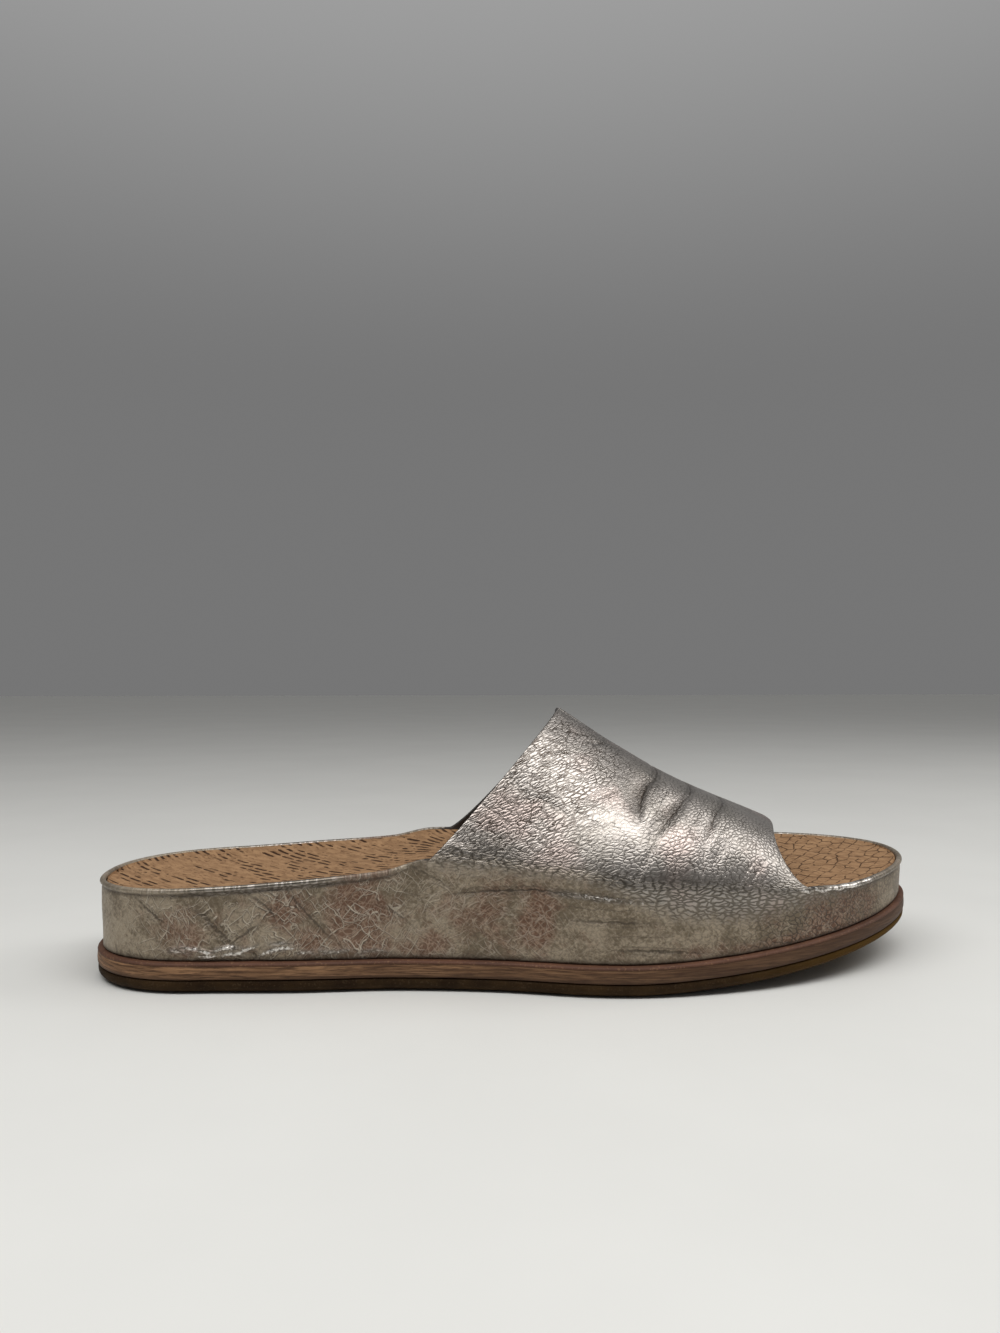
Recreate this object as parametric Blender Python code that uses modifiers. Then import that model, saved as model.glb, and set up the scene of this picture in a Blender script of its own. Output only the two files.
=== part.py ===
"""Right slide sandal: a leather upper lasted over a cork footbed, on a stacked midsole and a rubber outsole.

The upper is one piece of leather: a band round the footbed's side that runs up, on both sides of the foot,
into a broad strap over the instep. Heel, toe and underside are open. The frame stands on the floor under the
middle of the sole: +X runs to the toe, +Y to the inner side of the foot and +Z up.
"""

import math
from collections import namedtuple

import bmesh
import bpy

MM = 0.001

# Driving sizes of the last and of the sole under it
LENGTH = 270.4 * MM
BALL_WIDTH = 96 * MM
TOE_SPRING = 10.8 * MM
INSTEP_HEIGHT = 82 * MM
TOE_HEIGHT = 44.4 * MM

# Thickness of each layer, and the clearance between two layers
OUTSOLE_THICKNESS = 3.8 * MM
MIDSOLE_THICKNESS = 5.1 * MM
UPPER_WALL = 1.6 * MM
CLEARANCE = 0.3 * MM

# Heights of the layers over the sole's lower face
MIDSOLE_BASE = OUTSOLE_THICKNESS + CLEARANCE
MIDSOLE_TOP = MIDSOLE_BASE + MIDSOLE_THICKNESS
UPPER_BASE = MIDSOLE_TOP + CLEARANCE

# The toe lifts off the floor from just behind the ball
SPRING_START = 0.6 * LENGTH
SPRING_POWER = 1.7

# Round ends of the sole's outline. The tip swings to the inner side, where the big toe is.
TIP_SWING = 19 * MM
HEEL_ROUND = 36 * MM
HEEL_POWER = 2.25
TOE_START = {"lateral": 0.60 * LENGTH, "medial": 0.80 * LENGTH}
TOE_POWER = {"lateral": 2.0, "medial": 2.45}
SIDE_SIGN = {"lateral": -1, "medial": 1}

# Half widths of the sole's edge before its ends are rounded: shares of LENGTH and of BALL_WIDTH
SoleSection = namedtuple("SoleSection", "station lateral medial")
SOLE_SECTIONS = (
    SoleSection(0.00, 0.353, 0.350),
    SoleSection(0.14, 0.353, 0.350),
    SoleSection(0.24, 0.366, 0.340),
    SoleSection(0.35, 0.362, 0.312),
    SoleSection(0.46, 0.398, 0.320),
    SoleSection(0.56, 0.464, 0.405),
    SoleSection(0.62, 0.480, 0.460),
    SoleSection(0.71, 0.480, 0.510),
    SoleSection(0.80, 0.480, 0.520),
    SoleSection(1.00, 0.480, 0.520),
)

# Height of the leather band's rim over the floor, where the strap leaves it or the cork begins
RimSection = namedtuple("RimSection", "station lateral medial")
RIM_SECTIONS = (
    RimSection(0.00, 30.2 * MM, 30.2 * MM),
    RimSection(0.14, 31.0 * MM, 31.7 * MM),
    RimSection(0.25, 33.2 * MM, 33.8 * MM),
    RimSection(0.34, 35.6 * MM, 35.8 * MM),
    RimSection(0.39, 38.8 * MM, 38.3 * MM),
    RimSection(0.50, 35.5 * MM, 36.5 * MM),
    RimSection(0.62, 31.5 * MM, 33.5 * MM),
    RimSection(0.76, 29.4 * MM, 32.4 * MM),
    RimSection(0.88, 29.0 * MM, 32.2 * MM),
    RimSection(1.00, 31.6 * MM, 31.6 * MM),
)

# The strap's foot on the band, by station, and its crown line from the back edge to the front edge
STRAP_BACK = {"lateral": 0.388 * LENGTH, "medial": 0.412 * LENGTH}
STRAP_FRONT = {"lateral": 0.817 * LENGTH, "medial": 0.835 * LENGTH}
CROWN_BACK = 0.547 * LENGTH
CROWN_FRONT = 0.817 * LENGTH

# Crown of the strap from its back edge (along 0) to its front edge (1): rise is its share of the drop from
# INSTEP_HEIGHT to TOE_HEIGHT, and shift moves it to the inner side
CrownSection = namedtuple("CrownSection", "along rise shift")
CROWN_SECTIONS = (
    CrownSection(0.00, 1.000, 5.0 * MM),
    CrownSection(0.25, 0.695, 6.5 * MM),
    CrownSection(0.50, 0.419, 8.5 * MM),
    CrownSection(0.75, 0.200, 11.0 * MM),
    CrownSection(1.00, 0.000, 13.0 * MM),
)

# Flanks of the strap: steep bends each section between a quarter ellipse (1) and a flat slope (2), lean is 1
# for a flank that leans in from its foot and less for one that stands upright under a flat top, and cut draws
# the flank between foot and crown back towards the heel
FlankSection = namedtuple("FlankSection", "along steep lean cut")
FLANK_SECTIONS = {
    "lateral": (
        FlankSection(0.00, 1.75, 0.85, 0.0 * MM),
        FlankSection(0.25, 1.70, 0.72, 0.0 * MM),
        FlankSection(0.50, 1.62, 0.54, 0.5 * MM),
        FlankSection(0.75, 1.55, 0.42, 3.2 * MM),
        FlankSection(1.00, 1.45, 0.35, 8.0 * MM),
    ),
    "medial": (
        FlankSection(0.00, 1.65, 0.90, -5.0 * MM),
        FlankSection(0.25, 1.60, 0.80, -3.0 * MM),
        FlankSection(0.50, 1.50, 0.70, -0.5 * MM),
        FlankSection(0.75, 1.40, 0.60, 1.5 * MM),
        FlankSection(1.00, 1.30, 0.52, 3.0 * MM),
    ),
}
STRAP_SWEEP = 0.85
CUT_SKEW = 1.3
CUT_POWER = 0.6

# Profile of the band's outside below its rim: depth under the rim and how far it stands out, the free rim
# being a rolled bead with a groove under it
BandLevel = namedtuple("BandLevel", "depth bead")
BAND_LEVELS = (
    BandLevel(5.0 * MM, 0.0 * MM),
    BandLevel(2.9 * MM, -0.3 * MM),
    BandLevel(2.3 * MM, -0.1 * MM),
    BandLevel(1.4 * MM, 0.55 * MM),
    BandLevel(0.6 * MM, 0.45 * MM),
    BandLevel(0.0 * MM, -0.1 * MM),
)
BAND_LOWER_LEVELS = 3
BAND_LEDGE = 1.7 * MM
BAND_FLARE = 0.6 * MM
BEAD_FADE = 8 * MM

# Layers of the sole: how far each ring lies inside the sole's edge, and its height over the layer's base
Ring = namedtuple("Ring", "inset height")
OUTSOLE_RINGS = (
    Ring(2.6 * MM, 0.0),
    Ring(1.1 * MM, 0.7 * MM),
    Ring(0.5 * MM, 1.9 * MM),
    Ring(0.3 * MM, OUTSOLE_THICKNESS),
)
MIDSOLE_RINGS = (
    Ring(0.4 * MM, 0.0),
    Ring(0.0, 1.2 * MM),
    Ring(0.0, 3.9 * MM),
    Ring(0.4 * MM, 4.8 * MM),
    Ring(1.1 * MM, MIDSOLE_THICKNESS),
)

# Footbed: its edge lies under the rim, and its top is dished between the two edges
FOOTBED_INSET = BAND_LEDGE + UPPER_WALL + CLEARANCE
FOOTBED_BELOW_RIM = 0.3 * MM
FOOTBED_EDGE_ROUND = 0.5 * MM
DishSection = namedtuple("DishSection", "station depth")
DISH_SECTIONS = (
    DishSection(0.00, 0.6 * MM),
    DishSection(0.14, 2.2 * MM),
    DishSection(0.40, 2.6 * MM),
    DishSection(0.65, 2.0 * MM),
    DishSection(1.00, 0.5 * MM),
)

# Soft folds pressed into the strap: two ends in shares along the strap and across it, from the outer side (0)
# over the crown (0.5) to the inner side (1), with the depth and half width of the trough
Fold = namedtuple("Fold", "along_from across_from along_to across_to depth half_width")
FOLDS = (
    Fold(0.42, 0.42, 0.40, 0.28, 2.0 * MM, 4.5 * MM),
    Fold(0.57, 0.42, 0.49, 0.22, 2.0 * MM, 4.2 * MM),
    Fold(0.72, 0.42, 0.66, 0.24, 1.2 * MM, 3.8 * MM),
)

# How finely the solids are cut into facets. A flank's points crowd towards the crown by a power.
HEEL_STEPS = 14
STRAP_STEPS = 20
TOE_STEPS = 11
FLANK_STEPS = 13
FLANK_CROWD = 2.2
FOOTBED_STEPS = 8
SMOOTH_ANGLE = math.radians(40)


def smooth(rows, column, place):
    """Value of a table's column at a place between its rows, on a smooth curve through them."""
    places = [row[0] for row in rows]
    values = [getattr(row, column) for row in rows]
    last = len(rows) - 1
    place = min(max(place, places[0]), places[last])
    k = max(i for i in range(last) if places[i] <= place)

    def slope(i):
        low, high = max(i - 1, 0), min(i + 1, last)
        return (values[high] - values[low]) / (places[high] - places[low])

    span = places[k + 1] - places[k]
    t = (place - places[k]) / span
    start, end = slope(k) * span, slope(k + 1) * span
    change = values[k + 1] - values[k]
    return values[k] + t * (start + t * (3 * change - 2 * start - end + t * (start + end - 2 * change)))


def end_round(share, power):
    """1 at the start of a round end and 0 at its tip, along a superellipse."""
    return max(0.0, 1 - max(share, 0.0) ** power) ** (1 / power)


def spring(x):
    """Lift of the sole over the floor."""
    share = max(0.0, (x - SPRING_START) / (LENGTH - SPRING_START))
    return TOE_SPRING * share**SPRING_POWER


def sole_edge(x, side):
    """Distance of the sole's edge from the axis at x, which is measured from the back of the heel."""
    y = SIDE_SIGN[side] * BALL_WIDTH * smooth(SOLE_SECTIONS, side, x / LENGTH)
    y *= end_round(1 - x / HEEL_ROUND, HEEL_POWER)
    toe = (x - TOE_START[side]) / (LENGTH - TOE_START[side])
    return TIP_SWING + (y - TIP_SWING) * end_round(toe, TOE_POWER[side])


def stations(side):
    """Places along the sole: close together at both round ends, evenly spaced under the strap."""
    back, front = STRAP_BACK[side], STRAP_FRONT[side]
    heel = [back * (1 - math.cos(math.pi / 2 * i / HEEL_STEPS)) for i in range(HEEL_STEPS)]
    strap = [back + (front - back) * i / STRAP_STEPS for i in range(STRAP_STEPS)]
    toe = [front + (LENGTH - front) * math.sin(math.pi / 2 * i / TOE_STEPS) for i in range(TOE_STEPS + 1)]
    return heel + strap + toe


STATIONS = {side: stations(side) for side in SIDE_SIGN}
LAST = len(STATIONS["lateral"]) - 1
STRAP_FIRST = HEEL_STEPS
STRAP_LAST = HEEL_STEPS + STRAP_STEPS


def outline(inset):
    """The sole's edge moved inwards: a list of points for each side, from the heel to the tip."""
    lateral = [(x, sole_edge(x, "lateral")) for x in STATIONS["lateral"]]
    medial = [(x, sole_edge(x, "medial")) for x in STATIONS["medial"]]
    loop = lateral + medial[-2:0:-1]
    moved = []
    for i, (x, y) in enumerate(loop):
        before, after = loop[i - 1], loop[(i + 1) % len(loop)]
        along = (after[0] - before[0], after[1] - before[1])
        reach = inset / math.hypot(*along)
        moved.append((x - along[1] * reach, y + along[0] * reach))
    return {"lateral": moved[: LAST + 1], "medial": [moved[0]] + moved[:LAST - 1:-1]}


def middle_of_sole():
    """Centre of the sole's outline, which becomes the frame's origin."""
    ys = [sole_edge(x, side) for side in SIDE_SIGN for x in STATIONS[side]]
    return LENGTH / 2, (min(ys) + max(ys)) / 2


MIDDLE_X, MIDDLE_Y = middle_of_sole()


def rim_height(i, side):
    return smooth(RIM_SECTIONS, side, STATIONS[side][i] / LENGTH)


def band_profile(i, side):
    """(height, distance inside the sole's edge) of the band's outside at a station, from base to rim."""
    x = STATIONS[side][i]
    rim, base = rim_height(i, side), spring(x) + UPPER_BASE
    away = max(STRAP_BACK[side] - x, x - STRAP_FRONT[side], 0.0)
    free = min(1.0, away / BEAD_FADE)
    lowest = rim - BAND_LEVELS[0].depth
    levels = [(base + (lowest - base) * k / BAND_LOWER_LEVELS, 0.0) for k in range(BAND_LOWER_LEVELS)]
    levels += [(rim - level.depth, level.bead * free) for level in BAND_LEVELS]
    return [(z, BAND_LEDGE - bead - BAND_FLARE * (z - base) / (rim - base)) for z, bead in levels]


def strap_point(along, t, side, foot):
    """A point of the strap's flank: t runs from 0 at its foot on the rim to 1 at the crown."""
    crown_x = CROWN_BACK + (CROWN_FRONT - CROWN_BACK) * along
    crown_y = smooth(CROWN_SECTIONS, "shift", along)
    crown_z = TOE_HEIGHT + (INSTEP_HEIGHT - TOE_HEIGHT) * smooth(CROWN_SECTIONS, "rise", along)
    steep, lean, cut = (smooth(FLANK_SECTIONS[side], column, along) for column in ("steep", "lean", "cut"))
    turn = math.pi / 2 * t
    rise = math.sin(turn) ** steep
    drawn = cut * max(0.0, math.sin(math.pi * t**CUT_SKEW)) ** CUT_POWER
    x = foot[0] + (crown_x - foot[0]) * (t + STRAP_SWEEP * (rise - t)) - drawn
    y = crown_y + (foot[1] - crown_y) * math.cos(turn) ** lean
    z = foot[2] + (crown_z - foot[2]) * rise
    return x, y, z


def fold_depth(along, across):
    """How deep the folds press the strap in at a place on it."""
    strap_length, strap_width = CROWN_FRONT - CROWN_BACK, 1.4 * BALL_WIDTH
    depth = 0.0
    for fold in FOLDS:
        run = (
            (fold.along_to - fold.along_from) * strap_length,
            (fold.across_to - fold.across_from) * strap_width,
        )
        place = ((along - fold.along_from) * strap_length, (across - fold.across_from) * strap_width)
        share = (place[0] * run[0] + place[1] * run[1]) / (run[0] ** 2 + run[1] ** 2)
        nearest = min(max(share, 0.0), 1.0)
        gap = math.hypot(place[0] - nearest * run[0], place[1] - nearest * run[1])
        depth += fold.depth * math.exp(-((gap / fold.half_width) ** 2))
    return depth


class Skin:
    """A mesh under construction: points that fall together are one, and faces that collapse are left out."""

    def __init__(self):
        self.mesh = bmesh.new()
        self.found = {}

    def point(self, x, y, z):
        key = tuple(round(value / (0.001 * MM)) for value in (x, y, z))
        if key not in self.found:
            self.found[key] = self.mesh.verts.new((x - MIDDLE_X, y - MIDDLE_Y, z))
        return self.found[key]

    def face(self, corners):
        kept = [v for i, v in enumerate(corners) if v is not corners[i - 1]]
        if len(set(kept)) == len(kept) > 2:
            self.mesh.faces.new(kept)

    def grid(self, rows, closed=False):
        """Faces between neighbouring rows of points. closed joins each row's last point to its first."""
        for low, high in zip(rows, rows[1:]):
            for j in range(len(low) if closed else len(low) - 1):
                k = (j + 1) % len(low)
                self.face([low[j], high[j], high[k], low[k]])


def add_piece(name, skin, colour, roughness, metallic=0.0):
    """A named object with its own material, from a finished skin."""
    mesh = bpy.data.meshes.new(name)
    skin.mesh.to_mesh(mesh)
    skin.mesh.free()
    mesh.shade_smooth()
    mesh.set_sharp_from_angle(angle=SMOOTH_ANGLE)
    material = bpy.data.materials.new(name)
    material.use_nodes = True
    shader = material.node_tree.nodes["Principled BSDF"]
    shader.inputs["Base Color"].default_value = (*colour, 1.0)
    shader.inputs["Roughness"].default_value = roughness
    shader.inputs["Metallic"].default_value = metallic
    mesh.materials.append(material)
    piece = bpy.data.objects.new(name, mesh)
    SANDAL.objects.link(piece)
    return piece


def sole_layer(name, rings, base, colour, roughness):
    """A slab of the sole: its side runs through the rings, and its two faces follow the toe spring."""
    edges = [(outline(ring.inset), base + ring.height) for ring in rings]
    skin = Skin()
    rows = []
    for i in range(LAST + 1):
        lateral = [(*edge["lateral"][i], height) for edge, height in edges]
        medial = [(*edge["medial"][i], height) for edge, height in reversed(edges)]
        rows.append([skin.point(x, y, spring(x) + height) for x, y, height in lateral + medial])
    skin.grid(rows, closed=True)
    return add_piece(name, skin, colour, roughness)


def footbed_top(i, edge):
    """Points across the footbed's dished top at a station, from the outer edge to the inner one."""
    (xa, ya), (xb, yb) = edge["lateral"][i], edge["medial"][i]
    dish = smooth(DISH_SECTIONS, "depth", xa / LENGTH)
    za, zb = (rim_height(i, side) - FOOTBED_BELOW_RIM for side in SIDE_SIGN)
    points = []
    for k in range(FOOTBED_STEPS + 1):
        share = k / FOOTBED_STEPS
        sunk = dish * (1 - (2 * share - 1) ** 4) if 0 < i < LAST else 0.0
        points.append((xa + (xb - xa) * share, ya + (yb - ya) * share, za + (zb - za) * share - sunk))
    return points


def add_footbed():
    """Cork platform inside the band, which shows as the surface under the foot."""
    edge, top_edge = outline(FOOTBED_INSET), outline(FOOTBED_INSET + FOOTBED_EDGE_ROUND)
    skin = Skin()
    rows = []
    for i in range(LAST + 1):
        base = {side: (*edge[side][i], spring(edge[side][i][0]) + UPPER_BASE) for side in SIDE_SIGN}
        wall = {side: (*edge[side][i], rim_height(i, side) - FOOTBED_BELOW_RIM - FOOTBED_EDGE_ROUND)
                for side in SIDE_SIGN}
        top = footbed_top(i, top_edge)
        section = [base["lateral"], wall["lateral"], *top, wall["medial"], base["medial"]]
        rows.append([skin.point(*point) for point in section])
    skin.grid(rows, closed=True)
    return add_piece("footbed", skin, (0.55, 0.33, 0.16), 0.8)


def band_rows(skin):
    """Rows of points up the band's outside, one row for each station, for each side of the foot."""
    profiles = {side: [band_profile(i, side) for i in range(LAST + 1)] for side in SIDE_SIGN}
    rows = {side: [[] for _ in range(LAST + 1)] for side in SIDE_SIGN}
    for level in range(BAND_LOWER_LEVELS + len(BAND_LEVELS)):
        for side in SIDE_SIGN:
            for i in range(LAST + 1):
                z, inset = profiles[side][i][level]
                x, y = outline_at(inset, i, side)
                rows[side][i].append(skin.point(x, y, z))
    return rows


OUTLINE_EDGE = outline(0.0)
OUTLINE_INNER = outline(BAND_LEDGE)


def outline_at(inset, i, side):
    """A point of the sole's edge moved inwards by its own inset."""
    share = inset / BAND_LEDGE
    edge, inner = OUTLINE_EDGE[side][i], OUTLINE_INNER[side][i]
    return edge[0] + (inner[0] - edge[0]) * share, edge[1] + (inner[1] - edge[1]) * share


def strap_row(skin, i):
    """Points over the strap from its outer foot to its inner foot."""
    along = (i - STRAP_FIRST) / STRAP_STEPS
    flanks = {}
    for side in SIDE_SIGN:
        z, inset = band_profile(i, side)[-1]
        foot = (*outline_at(inset, i, side), z)
        flank = []
        for k in range(FLANK_STEPS + 1):
            t = 1 - (1 - k / FLANK_STEPS) ** FLANK_CROWD
            x, y, z = strap_point(along, t, side, foot)
            across = t / 2 if side == "lateral" else 1 - t / 2
            flank.append((x, y, z - fold_depth(along, across) * t))
        flanks[side] = flank
    section = flanks["lateral"] + flanks["medial"][-2::-1]
    return [skin.point(*point) for point in section]


def add_upper():
    """Leather band and strap in one wall: the outer surface, thickened inwards."""
    skin = Skin()
    band = band_rows(skin)
    skin.grid(band["lateral"])
    skin.grid(band["medial"][::-1])
    skin.grid([strap_row(skin, i) for i in range(STRAP_FIRST, STRAP_LAST + 1)])
    piece = add_piece("upper", skin, (0.62, 0.56, 0.49), 0.36, metallic=0.8)
    wall = piece.modifiers.new("wall", "SOLIDIFY")
    wall.thickness = UPPER_WALL
    wall.offset = -1.0
    wall.use_even_offset = True
    wall.use_quality_normals = True
    return piece


for old in list(bpy.data.objects):
    bpy.data.objects.remove(old)
SANDAL = bpy.data.collections.new("slide_sandal")
bpy.context.scene.collection.children.link(SANDAL)

sole_layer("outsole", OUTSOLE_RINGS, 0.0, (0.10, 0.06, 0.03), 0.7)
sole_layer("midsole", MIDSOLE_RINGS, MIDSOLE_BASE, (0.27, 0.14, 0.07), 0.6)
add_footbed()
add_upper()
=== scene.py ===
"""Looks of a right slide sandal: metallic leather lasted over cork, on a stacked midsole and a rubber sole.

The pieces follow in the order they are put together. Plan distances run along the foot from the back of the
heel and across it from the heel's axis, with the outer side of the foot (lateral) at -Y and the toe at +X.
"""

import math
from collections import namedtuple
from functools import partial, reduce

import bmesh
import bpy
import numpy as np
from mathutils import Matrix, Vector, noise


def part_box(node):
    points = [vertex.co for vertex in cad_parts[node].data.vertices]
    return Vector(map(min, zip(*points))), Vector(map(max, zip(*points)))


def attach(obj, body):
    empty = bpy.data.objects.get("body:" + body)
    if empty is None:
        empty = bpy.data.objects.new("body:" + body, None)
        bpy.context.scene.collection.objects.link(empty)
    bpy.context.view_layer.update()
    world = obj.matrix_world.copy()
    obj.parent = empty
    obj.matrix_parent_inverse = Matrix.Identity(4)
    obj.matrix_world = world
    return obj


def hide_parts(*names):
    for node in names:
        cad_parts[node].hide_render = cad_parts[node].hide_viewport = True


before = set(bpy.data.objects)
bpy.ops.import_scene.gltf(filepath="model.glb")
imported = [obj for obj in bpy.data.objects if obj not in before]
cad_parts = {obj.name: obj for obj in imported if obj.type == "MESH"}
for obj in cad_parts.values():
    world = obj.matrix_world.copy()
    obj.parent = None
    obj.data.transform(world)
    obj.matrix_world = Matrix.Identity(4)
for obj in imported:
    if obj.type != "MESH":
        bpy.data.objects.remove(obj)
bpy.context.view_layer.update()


# Outsole
# A sheet of dark gum rubber, cut to the sole's outline and cemented under the midsole. Its lower edge is
# ground round, and it lifts off the floor under the toes, where the bare rubber shows yellower.

MM = 0.001
midsole_low, midsole_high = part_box("midsole")
LENGTH = midsole_high.x - midsole_low.x
BALL_WIDTH = 96 * MM
TOE_SPRING = 10.8 * MM
SPRING_START = 0.6 * LENGTH
SPRING_POWER = 1.7

SIDE_SIGN = {"lateral": -1, "medial": 1}
TIP_SWING = 19 * MM
HEEL_ROUND = 36 * MM
HEEL_POWER = 2.25
TOE_START = {"lateral": 0.60 * LENGTH, "medial": 0.80 * LENGTH}
TOE_POWER = {"lateral": 2.0, "medial": 2.45}

# Half widths of the sole's edge before its ends are rounded: shares of LENGTH and of BALL_WIDTH
SoleSection = namedtuple("SoleSection", "station lateral medial")
SOLE_SECTIONS = (
    SoleSection(0.00, 0.353, 0.350),
    SoleSection(0.14, 0.353, 0.350),
    SoleSection(0.24, 0.366, 0.340),
    SoleSection(0.35, 0.362, 0.312),
    SoleSection(0.46, 0.398, 0.320),
    SoleSection(0.56, 0.464, 0.405),
    SoleSection(0.62, 0.480, 0.460),
    SoleSection(0.71, 0.480, 0.510),
    SoleSection(0.80, 0.480, 0.520),
    SoleSection(1.00, 0.480, 0.520),
)

# Stations lie close together at the round ends, and evenly where the strap's two feet stand on the sole
STRAP_BACK = {"lateral": 0.388 * LENGTH, "medial": 0.412 * LENGTH}
STRAP_FRONT = {"lateral": 0.817 * LENGTH, "medial": 0.835 * LENGTH}
HEEL_STEPS, STRAP_STEPS, TOE_STEPS = 116, 140, 70
ACROSS_STEPS = 16
WELD = 0.001 * MM


def smooth(rows, column, place):
    """Values of a table's column at places between its rows, on a smooth curve through them."""
    places = np.array([row[0] for row in rows])
    values = np.array([getattr(row, column) for row in rows])
    low = np.maximum(np.arange(len(rows)) - 1, 0)
    high = np.minimum(np.arange(len(rows)) + 1, len(rows) - 1)
    slopes = (values[high] - values[low]) / (places[high] - places[low])
    place = np.clip(place, places[0], places[-1])
    k = np.clip(np.searchsorted(places, place, side="right") - 1, 0, len(rows) - 2)
    span = places[k + 1] - places[k]
    t = (place - places[k]) / span
    start, end = slopes[k] * span, slopes[k + 1] * span
    change = values[k + 1] - values[k]
    return values[k] + t * (start + t * (3 * change - 2 * start - end + t * (start + end - 2 * change)))


def end_round(share, power):
    """1 at the start of a round end and 0 at its tip, along a superellipse."""
    return np.maximum(0.0, 1 - np.maximum(share, 0.0) ** power) ** (1 / power)


def spring(x):
    """Lift of the sole over the floor."""
    share = np.maximum(0.0, (x - SPRING_START) / (LENGTH - SPRING_START))
    return TOE_SPRING * share**SPRING_POWER


def sole_edge(x, side):
    """Distance of the sole's edge from the heel's axis."""
    y = SIDE_SIGN[side] * BALL_WIDTH * smooth(SOLE_SECTIONS, side, x / LENGTH)
    y = y * end_round(1 - x / HEEL_ROUND, HEEL_POWER)
    toe = (x - TOE_START[side]) / (LENGTH - TOE_START[side])
    return TIP_SWING + (y - TIP_SWING) * end_round(toe, TOE_POWER[side])


def stations(side):
    back, front = STRAP_BACK[side], STRAP_FRONT[side]
    heel = back * (1 - np.cos(math.pi / 2 * np.arange(HEEL_STEPS) / HEEL_STEPS))
    strap = back + (front - back) * np.arange(STRAP_STEPS) / STRAP_STEPS
    toe = front + (LENGTH - front) * np.sin(math.pi / 2 * np.arange(TOE_STEPS + 1) / TOE_STEPS)
    return np.concatenate([heel, strap, toe])


STATIONS = {side: stations(side) for side in SIDE_SIGN}
LAST = HEEL_STEPS + STRAP_STEPS + TOE_STEPS


def edge_and_inward():
    """The sole's edge as points for each side, from heel to tip, and the direction inwards at each point."""
    lateral, medial = (np.stack([STATIONS[s], sole_edge(STATIONS[s], s)], 1) for s in SIDE_SIGN)
    loop = np.concatenate([lateral, medial[-2:0:-1]])
    along = np.roll(loop, -1, 0) - np.roll(loop, 1, 0)
    inward = np.stack([-along[:, 1], along[:, 0]], 1) / np.linalg.norm(along, axis=1, keepdims=True)

    def halves(ring):
        return {"lateral": ring[: LAST + 1], "medial": np.concatenate([ring[:1], ring[: LAST - 1: -1]])}

    return halves(loop), halves(inward)


EDGE, INWARD = edge_and_inward()
EDGE_LOW = min(EDGE["lateral"][:, 1].min(), EDGE["medial"][:, 1].min())
ORIGIN = np.array([-midsole_low.x, EDGE_LOW - midsole_low.y, 0.0])


def moved_in(side, inset):
    """The sole's edge on one side, moved inwards by one inset or by one for each station."""
    return EDGE[side] + INWARD[side] * np.reshape(inset, (-1, 1))


def between(first, last, steps):
    """Points inside the straight lines that join two rows of points."""
    share = (np.arange(1, steps) / steps)[None, :, None]
    return first[:, None] * (1 - share) + last[:, None] * share


def quads(index, closed=False):
    """Four-cornered faces over a grid of point numbers. closed joins each row's last point to its first."""
    if closed:
        index = np.concatenate([index, index[:, :1]], 1)
    return np.stack([index[:-1, :-1], index[1:, :-1], index[1:, 1:], index[:-1, 1:]], -1).reshape(-1, 4)


def grid_of(points, first=0):
    """Point numbers for a grid of points, counted on from the first."""
    return first + np.arange(points.shape[0] * points.shape[1]).reshape(points.shape[:2])


def weld(points):
    """The first of each set of points that fall together, and every point's number among those."""
    keys = np.round(points / WELD).astype(np.int64)
    _, first, number = np.unique(keys, axis=0, return_index=True, return_inverse=True)
    return first, number.reshape(-1)


def make_piece(name, points, faces, facets=0, **attributes):
    """A smooth object from plan points and faces. Points that fall together are welded, and each attribute
    gives a number or a vector for each point. Vectors stay apart at a weld, on the corners of the faces.
    facets gives each face its material slot."""
    first, number = weld(points)
    corners = [dict(zip(number[face].tolist(), face.tolist())) for face in faces]
    kept = [k for k, face in enumerate(corners) if len(face) > 2]
    mesh = bpy.data.meshes.new(name)
    mesh.from_pydata((points[first] - ORIGIN).tolist(), [], [list(corners[k]) for k in kept])
    at_corner = [point for k in kept for point in corners[k].values()]
    mesh.polygons.foreach_set("material_index", np.broadcast_to(facets, len(faces))[kept].astype(np.int32))
    for label, values in attributes.items():
        if values.ndim == 1:
            layer, field, where = mesh.attributes.new(label, "FLOAT", "POINT"), "value", first
        else:
            layer, field, where = mesh.attributes.new(label, "FLOAT_VECTOR", "CORNER"), "vector", at_corner
        layer.data.foreach_set(field, values[where].astype(np.float32).ravel())
    shape = bmesh.new()
    shape.from_mesh(mesh)
    bmesh.ops.recalc_face_normals(shape, faces=shape.faces)
    shape.to_mesh(mesh)
    shape.free()
    mesh.shade_smooth()
    piece = bpy.data.objects.new(name, mesh)
    bpy.context.scene.collection.objects.link(piece)
    return piece


Ring = namedtuple("Ring", "inset height")


def slab_rows(rings, base):
    """Sections of a slab of the sole, one for each station: up its outer side through the rings, over its
    top, down its inner side and back underneath. The slab follows the toe spring."""
    sides = {}
    for side in SIDE_SIGN:
        rows = []
        for ring in rings:
            plan = moved_in(side, ring.inset)
            rows.append(np.column_stack([plan, spring(plan[:, 0]) + base + ring.height]))
        sides[side] = np.stack(rows, 1)
    lateral, medial = sides["lateral"], sides["medial"]
    top = between(lateral[:, -1], medial[:, -1], ACROSS_STEPS)
    bottom = between(medial[:, 0], lateral[:, 0], ACROSS_STEPS)
    return np.concatenate([lateral, top, medial[:, ::-1], bottom], 1)


def add_node(tree, kind, inputs=None, **settings):
    """A shader node with its settings. Its inputs take values, or the sockets that feed them."""
    made = tree.nodes.new("ShaderNode" + kind)
    for name, value in settings.items():
        setattr(made, name, value)
    for name, value in (inputs or {}).items():
        if isinstance(value, bpy.types.NodeSocket):
            tree.links.new(value, made.inputs[name])
        else:
            made.inputs[name].default_value = value
    return made


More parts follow.
